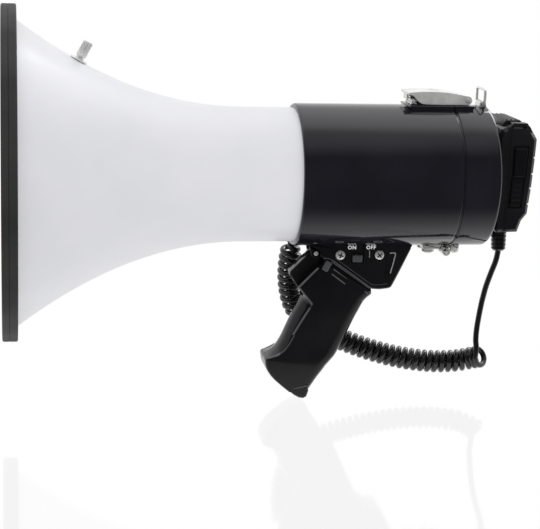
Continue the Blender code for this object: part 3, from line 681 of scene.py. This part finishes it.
def lettering(name, text, centre, height):
    font = bpy.data.curves.new(name, "FONT")
    font.body, font.size, font.align_x, font.align_y = text, height * 1.42 * MM, "CENTER", "CENTER"
    font.offset, font.extrude, font.resolution_u = 0.12 * MM, 0.05 * MM, 3
    font.space_character = 1.12
    made = linked(name, font)
    mesh = evaluated(made)
    bpy.data.objects.remove(made)
    mesh.transform(Matrix.Rotation(math.radians(90), 4, "X"))
    mesh.transform(Matrix.Translation(Vector(centre) * MM))
    return linked(name, mesh)


def make_bracket():
    half = 13.0
    line = rounded([(-15.6, 64.0), (-5.6, 57.6), (-0.7, 52.6, 2.5), (5.8, 50.9), (35, 30, 3.5), (42, 29.2, 4),
                    (50, 30.2, 2.5), (66.1, 64.0)], 1.8)
    body = solid("bracket", slab, line, -half, half, 1.3, 4)
    room = [(-14, 44), (3, 44), (3, 60), (-14, 60)]
    nose = [(-20, 40), (-1.6, 40), (-1.6, 57.2), (-8, 60.6), (-20, 66)]
    slot = rounded([(20.6, 48.9), (20.6, 62.9), (29.8, 62.9), (29.8, 48.9)], 0.8)
    pocket = rounded([(45.2, 41.0), (45.2, 56.0), (52.7, 56.0), (50.2, 41.0)], 0.5, 3)
    cutters = [solid("cutter", slab, line, *ends) for line, ends in (
        (room, (-5.9, 5.9)), (nose, (-20, -9.4)), (nose, (9.4, 20)), (slot, (-20, -10.4, 0)),
        (pocket, (-20, -11.4, 0)), (pocket, (11.4, 20, 0)))]
    for x in BOLT_XS:
        for low, high in ((-20, -11.8), (11.8, 20)):
            cutters.append(solid("seat", rod, (x, low, BOLT_Z), (x, high, BOLT_Z), 3.95, 32, 0))
    carve(body, *cutters)
    show(body, "grip_black", "handle_bracket")

    def open_line(points):
        return smooth_path([(px, 0, pz) for px, pz in points], 4)

    lower_edge = open_line([(1.4, 52.3), (5.8, 51.6), (12, 47.6), (24, 39.0), (35.0, 31.2), (38.5, 30.2),
                            (42, 30.1), (46, 30.4), (49.4, 31.2), (51.2, 33.6), (57, 45.6), (63.4, 59.4)])
    upper_line = open_line([(9.2, 52.4), (16, 47.4), (26, 40.2), (35.4, 33.6), (39, 32.9), (43, 32.9),
                            (47.6, 33.6)])
    corner = [(48.4, 55.8), (50.4, 56.0), (52.4, 55.8), (52.6, 54.8), (51.2, 48.4), (49.4, 41.2)]
    # the bracket's lower edge and a line above it, as beads in the light grey of a painted highlight
    build = bmesh.new()
    for way in BOTH:
        sweep(build, [p + Vector((0, way * 12.6, 0)) for p in lower_edge], 0.5, 10)
        sweep(build, [p + Vector((0, way * 12.7, 0)) for p in upper_line], 0.35, 8)
    piece("bracket_highlight_beads", build, "painted_edge_highlight", slot="grip_black")
    # the edge of the bracket pocket, in the brighter grey of a painted highlight
    build = bmesh.new()
    for way in BOTH:
        sweep(build, [Vector((px, way * 12.85, pz)) for px, pz in corner], 0.42, 8)
    piece("pocket_edge_highlight", build, "painted_highlight_and_print", slot="grip_black")

    build = bmesh.new()
    for side in BOTH:
        ear = arc(TRIGGER, 3.8, 180, 25, 7) + [(2, 56), (-4, 61.5), (-9, 60.5)]
        low, high = sorted((side * 6.2, side * 9.4))
        slab(build, rounded(ear, 0.6, 3), low, high, 0.5)
    piece("trigger_ears", build, "grip_black")

    build = bmesh.new()
    for side in BOTH:
        head = [(0, 0), (0, 1.6), (0.35, 1.6), (0.55, 1.2), (0.65, 0.6), (0.7, 0)]
        turn_profile(build, head, 28, (TRIGGER[0], side * 9.2, TRIGGER[1]), (0, side, 0))
    rod(build, (TRIGGER[0], -10, TRIGGER[1]), (TRIGGER[0], 10, TRIGGER[1]), 1.5)
    piece("trigger_pivot", build, "nickel", "trigger_pin")

    for number, bx in enumerate(BOLT_XS, 1):
        cross = Matrix.Rotation(math.radians(20 if number == 1 else 52), 3, "Y")
        head = [(0, 0), (0, 3.5), (0.5, 3.55), (1.1, 3.3), (1.6, 2.7), (1.95, 1.8), (2.1, 0)]
        made = solid(f"bolt_{number}", turn_profile, head, 40, (bx, -11.75, BOLT_Z), (0, -1, 0))
        carve(made, *(solid("slot", brick, (bx, -13.9, BOLT_Z), size, 0.15, cross)
                      for size in ((4.4, 2.6, 0.95), (0.95, 2.6, 4.4))))
        show(made, "nickel", f"bracket_bolt_{number}")
        # matte black crosses on the floor of each screw's cross recess: painted shade
        build = bmesh.new()
        for size in ((4.2, 0.9, 0.8), (0.8, 0.9, 4.2)):
            brick(build, (bx, -12.95, BOLT_Z), size, 0.1, cross)
        piece(f"bolt_recess_shade_{number}", build, "dark", slot="nickel")
        build = bmesh.new()
        turn_profile(build, [(0, 0), (0, 3.4), (1.2, 3.4), (1.2, 0)], 6, (bx, 11.8, BOLT_Z), (0, 1, 0))
        turn_profile(build, [(1.1, 0), (1.1, 2.8), (1.9, 2.4), (2.5, 1.4), (2.7, 0)], 28, (bx, 11.8, BOLT_Z),
                     (0, 1, 0))
        rod(build, (bx, -11.9, BOLT_Z), (bx, 11.9, BOLT_Z), 1.6)
        piece(f"bolt_nut_{number}", build, "nickel")

    # a matte black sheet on the floor of the switch slot: painted shade
    show(solid("switch_well_shade", brick, (25.2, -10.6, 55.9), (9.6, 0.9, 14.6), 0.2), "dark",
         slot="housing_black")
    build = bmesh.new()
    brick(build, (24.9, -12.6, 52.2), (6.9, 4.6, 5.0), 0.5)
    for k in range(4):
        brick(build, (22.5 + 1.6 * k, -14.95, 52.2), (0.7, 0.7, 4.4), 0.18)
    piece("knob", build, "grey_plastic", "switch_knob", body="switch_knob")

    for name, text, x in (("mark_on", "ON", 20.9), ("mark_off", "OFF", 34.6)):
        show(lettering(name, text, (x, -13.09, 59.9), 2.6), "print_white", slot="horn_white")
    # the OFF tick is print, in the grey of the pocket edge's painted highlight
    show(solid("mark_tick", brick, (33.7, -13.02, 55.2), (0.45, 0.08, 5.0), 0), "painted_highlight_and_print",
         slot="horn_white")


# ---- grip and trigger

GRIP_ROWS = (  # front edge, rear edge, half width, squareness, and the side face's ridge if it is apart
    ((0.6, 49.0), (36.2, 28.4), 14.0, 1.0),
    ((-2.0, 46.4), (38.3, 25.0), 14.4, 1.0),
    ((-9.0, 39.3), (35.4, 22.4), 14.5, 1.0),
    ((-15.6, 32.5), (33.0, 20.0), 14.5, 1.0),
    ((-15.9, 31.4), (32.6, 19.3), 14.5, 1.0),
    ((-12.4, 24.6), (30.9, 16.2), 14.4, 0.15, (-10.2, 24.2)),
    ((-14.2, 18.6), (29.4, 13.2), 14.2, 0.0, (-7.2, 18.8)),
    ((-18.7, 9.6), (27.0, 8.6), 13.9, 0.0, (-11.4, 10.4)),
    ((-22.2, 1.8), (23.8, 1.6), 13.6, 0.0, (-15.8, 3.0)),
    ((-25.4, -5.8), (20.6, -5.6), 13.5, 0.0, (-19.6, -4.2)),
    ((-27.9, -10.8), (17.1, -12.8), 13.6, 0.0, (-22.6, -10.4)),
    ((-30.6, -14.9), (13.6, -19.5), 13.9, 0.0, (-26.0, -14.4)),
    ((-34.8, -18.3), (10.3, -23.6), 14.2, 0.1, (-31.4, -17.8)),
    ((-38.4, -20.6), (7.2, -27.2), 14.4, 0.5, (-37.6, -20.6)),
    ((-38.8, -23.0), (5.4, -29.8), 14.4, 0.75),
    ((-37.6, -28.6), (2.6, -33.6), 14.3, 0.75),
    ((-33.4, -34.8), (0.0, -37.2), 14.2, 0.75),
    ((-27.0, -40.8), (-2.4, -40.8), 14.1, 0.75),
    ((-20.9, -45.8), (-4.6, -44.0), 14.0, 0.75),
)

GRIP_BEADS = (  # radius, sides, steps and points of each raised edge, for the far side; the edges are a light grey, a painted highlight
    (0.7, 10, 5, ((-3.0, 13.9, 45.6), (-8.8, 14.1, 39.7), (-15.2, 14.1, 33.0), (-16.0, 14.1, 31.6),
                  (-12.8, 14.0, 27.4), (-7.4, 14.0, 20.6), (-6.4, 13.9, 19.2))),
    (0.6, 10, 5, ((-8.0, 13.7, 16.6), (-11.6, 13.35, 10.4), (-15.9, 13.0, 3.0), (-19.4, 12.9, -3.2))),
    (0.55, 10, 4, ((6.6, 14.35, 41.4), (11.5, 14.4, 37.8), (16.6, 14.35, 34.1))),
    (0.65, 10, 4, ((-37.9, 11.6, -20.9), (-33.6, 13.0, -19.6), (-29.4, 13.4, -17.6), (-28.2, 13.3, -16.6))),
    (0.55, 10, 5, ((8.0, 13.6, 44.6), (18.4, 13.7, 37.2), (34.4, 13.5, 26.2))),
    (0.4, 8, 5, ((6.2, 12.2, 50.2), (20.4, 12.2, 40.2), (34.8, 12.2, 30.2))),
    (0.45, 8, 4, ((-21.6, 13.3, -43.4), (-15.0, 13.75, -42.2), (-7.0, 13.6, -40.6))),
)
LOCK_TILT = Matrix.Rotation(math.radians(29), 3, "Y")


def grip_section(front, rear, half, square, ridge=None):
    """Near half of one section, from the middle of the front to the middle of the rear."""
    front, ridge, rear = (Vector((p[0], 0, p[1])) for p in (front, ridge or front, rear))
    run = (rear - front).normalized()
    width = (rear - front).length
    crease = (ridge - front).dot(run)
    soft = ((0.0, 0.0), (0.05, 0.22), (0.22, 0.46), (0.50, 0.66), (0.80, 0.78), (0.99, 0.83))
    boxy = ((0.0, 0.0), (0.0, 0.30), (0.0, 0.58), (0.05, 0.80), (0.25, 0.90), (0.6, 0.95))
    points = []
    for (u, y), (bu, by) in zip(soft, boxy):
        u, y = u * (1 - square) * crease + bu * square * 1.2, y + (by - y) * square
        points.append((u, y))
    start = max(crease * (1 - square), 0.6 * 1.2 * square)
    points += [(start + 0.25, 0.925), (start + 0.8, 0.968), (start + 1.8, 0.988),
               (0.40 * width + 0.3 * start, 1.0),
               (width - 9.5, 0.995), (width - 6.2, 0.95), (width - 3.6, 0.85), (width - 1.7, 0.68),
               (width - 0.6, 0.46),
               (width - 0.1, 0.22), (width, 0.0)]
    return [front + run * u + Vector((0, -half * y, 0)) for u, y in points]


def make_grip():
    sections = [grip_section(*row) for row in GRIP_ROWS]
    columns = [smooth_path([section[c] for section in sections], 5) for c in range(len(sections[0]))]
    rows = list(zip(*columns))
    build = bmesh.new()
    rings = []
    for row in rows:
        near = list(row)
        far = [Vector((p.x, -p.y, p.z)) for p in reversed(near[1:-1])]
        rings.append([build.verts.new(p) for p in near + far])
    skin(build, rings)
    made = mesh_object("grip", build, 28)
    groove = bmesh.new()
    for side in (0, -1):
        path = [row[side] for row in rows]
        slim = [p for k, p in enumerate(path) if k % 3 == 0 or k == len(path) - 1]
        sweep(groove, slim, 0.3, 6)
    room = [(-34, 62), (-34, 24), (-13, 24), (-9, 20.5), (3, 30), (3.6, 62)]
    carve(made, solid("trigger_room", slab, room, -5.9, 5.9), mesh_object("parting", groove),
          solid("lock_seat", brick, (3.0, -13.4, 46.9), (5.4, 7.4, 8.8), 0.4, LOCK_TILT))
    made.data.set_sharp_from_angle(angle=math.radians(28))
    show(made, "grip_black", "grip_shell_near", "grip_shell_far")

    # the grip's raised edges, as beads in the light grey of a painted highlight
    build = bmesh.new()
    for side in BOTH:
        for radius, sides, steps, points in GRIP_BEADS:
            sweep(build, smooth_path([(x, side * y, z) for x, y, z in points], steps), radius, sides)
    piece("grip_highlight_edges", build, "painted_edge_highlight", slot="grip_black")
    build = bmesh.new()
    neck = rounded([(1.6, 47.0), (1.6, 52.0), (6.4, 51.2), (20, 41.6), (36.4, 30.2), (36.8, 27.0), (30, 24)],
                   0.9, 3)
    for near, far in ((-10.6, -6.6), (6.6, 10.6)):
        slab(build, neck, near, far, 0.6)
    slab(build, [(6.4, 46.0), (6.4, 50.6), (20, 41.2), (36.0, 30.0), (36.4, 27.0), (30, 24)], -7.0, 7.0, 0.3)
    piece("grip_neck", build, "grip_black")

    butt = [(-21.2, -45.0), (-17.2, -48.3), (-13.4, -50.4), (-10.2, -50.9), (-7.8, -49.6), (-6.4, -45.2),
            (-7.5, -36), (-19, -38)]
    show(solid("butt", slab, butt, -13.5, 13.5, 3.2, 6), "grip_black", "grip_butt")

    build = bmesh.new()
    brick(build, (3.0, -14.0, 46.9), (4.4, 3.8, 7.4), 0.6, LOCK_TILT)
    for k in range(3):
        middle = LOCK_TILT @ Vector((0, 0, -2.2 + 2.2 * k))
        brick(build, middle + Vector((3.0, -15.9, 46.9)), (3.6, 0.5, 0.8), 0.15, LOCK_TILT)
    piece("lock_button", build, "grey_plastic", "trigger_lock", body="trigger_lock")

    shape = rounded([(-5.5, 58.2), (-7.7, 55.2), (-21.2, 41.4, 1.6), (-21.8, 39.6, 1.6), (-16, 30.2, 2),
                     (-8, 26, 1.6),
                     (-1, 33, 1.6), (0.4, 46, 1.6), (-0.4, 55, 1.6), (-2.2, 58, 1.6)], 1.3)
    build = bmesh.new()
    slab(build, shape, -5.5, 5.5, 0.9, 4)
    for side in BOTH:
        for k in range(5):
            start = Vector((-19.4 + 1.35 * k, side * 5.5, 39.4 - 2.9 * k))
            reach = Vector((15.6 - 1.9 * k, 0, 12.2 - 1.5 * k))
            sweep(build, [start, start + reach * 0.5, start + reach], 0.7, 8)
    for k in range(9):
        t = k / 8
        x, z = -21.2 + 5.6 * t, 38.2 - 7.4 * t
        sweep(build, [(x, -4.9, z), (x, 0, z), (x, 4.9, z)], 0.4, 8)
    piece("trigger_blade", build, "grip_black", "trigger", body="trigger")


# ---- microphone

MIC = [(119.8, 76.5), (122.5, 72.6), (137.6, 73), (140.2, 81), (144.2, 86.2), (146.2, 105), (147.5, 124),
       (148.2, 139),
       (143.2, 147.8), (140.8, 149.3), (131, 149.3), (122.4, 146), (119.8, 140)]


def back_cutters():
    pocket = rounded([(115, 76.4), (125.4, 76.4), (125.4, 129), (115, 129)], 0.6)
    return [solid("clip_pocket", slab, pocket, -14, 14)]


def front_cutters():
    frame_line = rounded([(130.4, 135), (142.9, 135), (139.4, 90.2), (128.6, 90.2)], 1.2)
    step_line = [(126, 60), (128.0, 60), (129.4, 150), (126, 150)]
    window = rounded([(145.4, 137.6), (152, 137.6), (150, 97.6), (143.2, 97.6)], 0.6)
    shoulder = [(137, 146.9), (152, 140), (152, 156), (137, 156)]
    cutters = []
    for side in BOTH:
        for line, depth in ((frame_line, 23.2), (step_line, 24.4)):
            cutters.append(solid("side", slab, line, *sorted((side * 40, side * depth))))
    cutters.append(solid("face_window", slab, window, -17.6, 17.6))
    for k, z in enumerate((126.0, 114.4, 104.2, 93.0)):
        cutters.append(solid("notch", brick, (147.6 - 0.9 * k, 0, z), (2.4, 60, 1.3), 0.3))
    return cutters + [solid("shoulder", slab, shoulder, -30, -21.5)]


def make_microphone():
    half, seam = 25.0, 126.6
    back, front = (seam - 0.15, 200), (100, seam + 0.15)
    for name, node, (low, high) in (("mic_back", "mic_back_shell", back),
                                    ("mic_front", "mic_front_shell", front)):
        build = bmesh.new()
        slab(build, MIC, -half, half, 2.4, 1)
        made = bevelled(mesh_object(name, build), 0.55)
        cutters = [solid("keep", slab, [(low, 40), (high, 40), (high, 180), (low, 180)], -40, 40)]
        cutters += back_cutters() if name == "mic_back" else front_cutters()
        carve(made, *cutters)
        show(made, "mic_black", node, slot="housing_black", body="microphone")

    build = bmesh.new()
    key = rounded([(132.2, 133.0), (141.5, 133.0), (140.1, 112.4), (131.8, 112.4)], 1.1)
    slab(build, key, -25.9, -21.6, 0.9)
    lower = rounded([(131.5, 111.6), (139.8, 111.6), (138.2, 91.8), (130.4, 91.8)], 0.8)
    slab(build, lower, -24.9, -21.6, 0.5)
    for k in range(4):
        z = 96 + 3.6 * k
        sweep(build, [(131.6 + 0.07 * (z - 91), -25.0, z), (137.4 + 0.06 * (z - 91), -25.0, z)], 0.3, 6)
    piece("talk_key", build, "grip_black", "ptt_key", body="ptt_key")

    face = rounded([(145.0, 137), (147.9, 137), (145.7, 98), (143.0, 98)], 0.8, 3)
    made = solid("speech_grille", slab, face, -17, 17, 0.45)
    cutters = []
    for k in range(9):
        z = 101.4 + 4.2 * k
        cutters.append(solid("louvre", brick, (146 + 0.055 * (z - 117), 0, z), (6, 28, 1.7), 0.5))
    carve(made, *cutters)
    show(made, "mic_black", "mic_grille", slot="housing_black", body="microphone")
    lean = Matrix.Rotation(math.radians(3.2), 3, "Y")
    made = solid("grille_cloth", brick, (142.2, 0, 117.4), (1.6, 33, 37), 0.2, lean)
    show(made, "dark", slot="housing_black", body="microphone")

    bar = rounded([(128.6, 147.8), (130.4, 150.6), (140.6, 150.4), (142.0, 147.8)], 0.5, 3)
    made = solid("slider", slab, bar, -24.2, -15.8, 0.35)
    show(made, "mic_black", "mic_slider", slot="grip_black", body="mic_slider")

    build = bmesh.new()
    hump = rounded([(124.6, 147.0), (127.4, 151.4), (137.6, 151.6), (141.6, 148.6)], 0.9, 3)
    slab(build, hump, -14.6, 23.0, 0.6)
    for x in (128.6, 131.8, 135.0):
        sweep(build, [(x, -12.6, 151.4), (x - 0.4, 4, 151.5), (x - 0.8, 21, 151.4)], 0.7, 8)
    piece("mic_hump", build, "mic_black", slot="housing_black", body="microphone")

    build = bmesh.new()
    top = Vector((131.4, 0, 72.6))
    ribs = [(0, 0), (0, 5.6), (0.7, 5.7)]
    for k in range(5):
        near, far, radius = 1.8 + 3.1 * k, 2.9 + 3.1 * k, 5.75 - 0.12 * k
        ribs += [(near, radius), (near + 0.25, radius - 0.75), (far - 0.25, radius - 0.75),
                 (far, radius - 0.05)]
    ribs += [(16.2, 5.2), (17.6, 3.9), (18.1, 2.2), (18.1, 0)]
    turn_profile(build, ribs, 40, top, (0.03, 0, -1))
    piece("mic_boot", build, "cord_black", "mic_strain_relief", body="microphone")


# ---- cord

COIL_ROUTE = (
    (-15, 24.3, 55.3), (-16.2, 26, 47), (-17, 27, 36), (-16.2, 28, 24), (-13, 29, 11), (-6, 30, 0),
    (5, 29.6, -8.5), (17, 27.8, -14.8), (28, 25.4, -19.0), (42, 22.0, -23.6), (59, 18.0, -27.8),
    (76, 14.4, -30.4),
    (92, 11.2, -31.2), (103, 8.6, -30.4), (110.5, 7, -29.2), (116.5, 4.8, -27.4))
END_CURL = ((120.4, 2, -25.8), (122.8, -1.4, -24.4))
LEAD_ROUTE = ((118.4, -4.4, -17.5), (118.3, -2.4, -11), (119.2, -0.4, -3), (120.7, 0.6, 7), (122.2, 0.6, 17),
              (124.4, 0.4, 27.5), (127.6, 0.2, 38), (130.6, 0, 47), (131.95, 0, 54.6))
SPLIT = 4  # the lead's point where the part that rises with the microphone starts


def even(path, step):
    """The same line with its points a step apart."""
    points, spare = [path[0]], 0.0
    for a, b in zip(path, path[1:]):
        long = (b - a).length
        at = step - spare
        while at <= long:
            points.append(a.lerp(b, at / long))
            at += step
        spare = long - (at - step)
    return points


def cord_mesh(name, path):
    """A stretch of the cord, with its path and its length in metres."""
    build = bmesh.new()
    sweep(build, path, CORD_R, 10)
    made = mesh_object(name, build, 60)
    made.data.materials.append(LOOKS["cord_black"])
    length = sum((a - b).length for a, b in zip(path, path[1:])) * MM
    return made, [tuple(p * MM) for p in path], length


def make_cord():
    line = even(smooth_path(COIL_ROUTE + END_CURL, 24), 0.25)
    per_turn = 18
    count = TURNS * per_turn + per_turn // 2
    runs = [(line[min(i + 4, len(line) - 1)] - line[max(i - 4, 0)]).normalized() for i in range(len(line))]
    sides, side = [], Vector((0, 1, 0))
    for run in runs:
        side = (side - run * side.dot(run)).normalized()
        sides.append(side)
    path = []
    lead_in = 1.4 * per_turn
    for k in range(count + 1):
        at = k / count * (len(line) - 1)
        i = min(int(at), len(line) - 2)
        centre, run, across = line[i].lerp(line[i + 1], at - i), runs[i], sides[i]
        grow = min(1.0, k / lead_in)
        radius = COIL_R * math.sin(grow * math.pi / 2)
        a = 2 * math.pi * k / per_turn
        path.append(centre + radius * (across * math.cos(a) - run.cross(across) * math.sin(a)))
    lead = smooth_path((path[-1], *LEAD_ROUTE[:SPLIT + 1]), 8)
    path = [Vector((-15.0, 23.2, 57.6)), *path, *lead[1:]]
    coil, metres, length = cord_mesh("coiled_cord", path)
    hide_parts("curly_cord", "cord_lead")
    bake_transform(coil)

    top, metres, length = cord_mesh("cord_riser", smooth_path(LEAD_ROUTE[SPLIT:], 10))
    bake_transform(top)

    angle = math.radians(24)
    outward = Vector((0, math.sin(angle), -math.cos(angle)))
    seat = Vector((-15, 0, AXIS_Z)) + outward * (HOUSING_R + 0.2)
    profile = [(0, 0), (0, 6.8), (1.9, 6.8), (2.4, 6.4), (2.6, 5.4), (3.2, 5.2), (3.5, 5.5), (4.4, 5.4),
               (4.7, 4.9), (5.3, 4.9), (5.6, 5.2), (6.6, 5.1), (6.9, 4.6), (8.4, 4.1), (8.4, 0)]
    show(solid("gland", turn_profile, profile, 40, seat, outward), "cord_black", "cord_gland")


# ---- studio

def by_ray(tree, kind, others, these):
    """One value for rays of a kind and another for the rest, each a number or an output."""
    mix = add_node(tree, "ShaderNodeMix", data_type="FLOAT")
    tree.links.new(add_node(tree, "ShaderNodeLightPath").outputs[kind], mix.inputs["Factor"])
    for place, value in ((2, others), (3, these)):
        if isinstance(value, float):
            mix.inputs[place].default_value = value
        else:
            tree.links.new(value, mix.inputs[place])
    return mix.outputs[0]


def make_world():
    """White to the camera, and shaded from front to back in the reflections."""
    world = bpy.data.worlds.new("studio")
    bpy.context.scene.world = world
    world.use_nodes = True
    tree = world.node_tree
    tree.nodes.clear()
    split = add_node(tree, "ShaderNodeSeparateXYZ")
    tree.links.new(add_node(tree, "ShaderNodeTexCoord").outputs["Generated"], split.inputs["Vector"])
    total = add_node(tree, "ShaderNodeMath", operation="ADD")
    backdrop, overhead = (-0.25, 0.15, 0.07, 1.0), (0.55, 0.95, 0.0, 0.60)
    for place, (axis, ends) in enumerate((("Y", backdrop), ("Z", overhead))):
        shade = add_range(tree, split.outputs[axis], ends, interpolation_type="SMOOTHSTEP")
        tree.links.new(shade, total.inputs[place])
    soft = by_ray(tree, "Is Diffuse Ray", total.outputs["Value"], 0.80)
    background = add_node(tree, "ShaderNodeBackground", Color=WHITE)
    tree.links.new(by_ray(tree, "Is Camera Ray", soft, 1.0), background.inputs["Strength"])
    tree.links.new(background.outputs["Background"],
                   add_node(tree, "ShaderNodeOutputWorld").inputs["Surface"])


def make_floor():
    floor = linked("floor", bpy.data.meshes.new("floor"))
    build = bmesh.new()
    bmesh.ops.create_grid(build, x_segments=1, y_segments=1, size=6.0)
    bmesh.ops.translate(build, verts=build.verts, vec=(0, 0, cad_low.z - 0.0005))
    build.to_mesh(floor.data)
    build.free()
    material = bpy.data.materials.new("pale_floor")
    material.use_nodes = True
    tree = material.node_tree
    tree.nodes.remove(tree.nodes["Principled BSDF"])
    place = add_node(tree, "ShaderNodeSeparateXYZ")
    tree.links.new(add_node(tree, "ShaderNodeNewGeometry").outputs["Position"], place.inputs["Vector"])
    depth = add_range(tree, place.outputs["Y"], (-0.19, -0.02, 0.06, 0.90), interpolation_type="SMOOTHSTEP")
    glow = add_node(tree, "ShaderNodeEmission", Color=WHITE)
    tree.links.new(by_ray(tree, "Is Glossy Ray", 1.0, depth), glow.inputs["Strength"])
    shine = add_node(tree, "ShaderNodeBsdfGlossy", Color=WHITE, Roughness=0.06)
    mix = add_node(tree, "ShaderNodeMixShader", Fac=0.10)
    tree.links.new(glow.outputs["Emission"], mix.inputs[1])
    tree.links.new(shine.outputs["BSDF"], mix.inputs[2])
    tree.links.new(mix.outputs["Shader"], tree.nodes["Material Output"].inputs["Surface"])
    floor.data.materials.append(material)


def make_studio():
    make_world()
    make_floor()
    for name, place, aim, size, power in (("key", (-0.7, -1.3, 1.5), (0, 0, 0.1), 1.0, 6.0),
                                          ("rim", (0.9, 0.9, 0.9), (0.05, 0, 0.1), 0.6, 5.0)):
        light = linked(name, bpy.data.lights.new(name, "AREA"))
        light.data.size, light.data.energy = size, power
        light.location = place
        light.rotation_euler = (Vector(aim) - Vector(place)).to_track_quat("-Z", "Y").to_euler()
        light.visible_glossy = name == "rim"
    bpy.context.scene.view_settings.view_transform = "Standard"


def dress_cad():
    """Detailed materials for the CAD nodes that are shown as they are."""
    for name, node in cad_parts.items():
        for place in node.material_slots:
            key = place.material.name.split(".")[0]
            if name.startswith("mic_") and key == "housing_black":
                key = "mic_black"
            place.material = LOOKS[key]


make_camera()
LOOKS = make_looks()
make_cord()
dress_cad()
make_horn()
make_housing()
make_ring()
make_latch()
make_hinge()
make_bracket()
make_grip()
make_microphone()
make_studio()
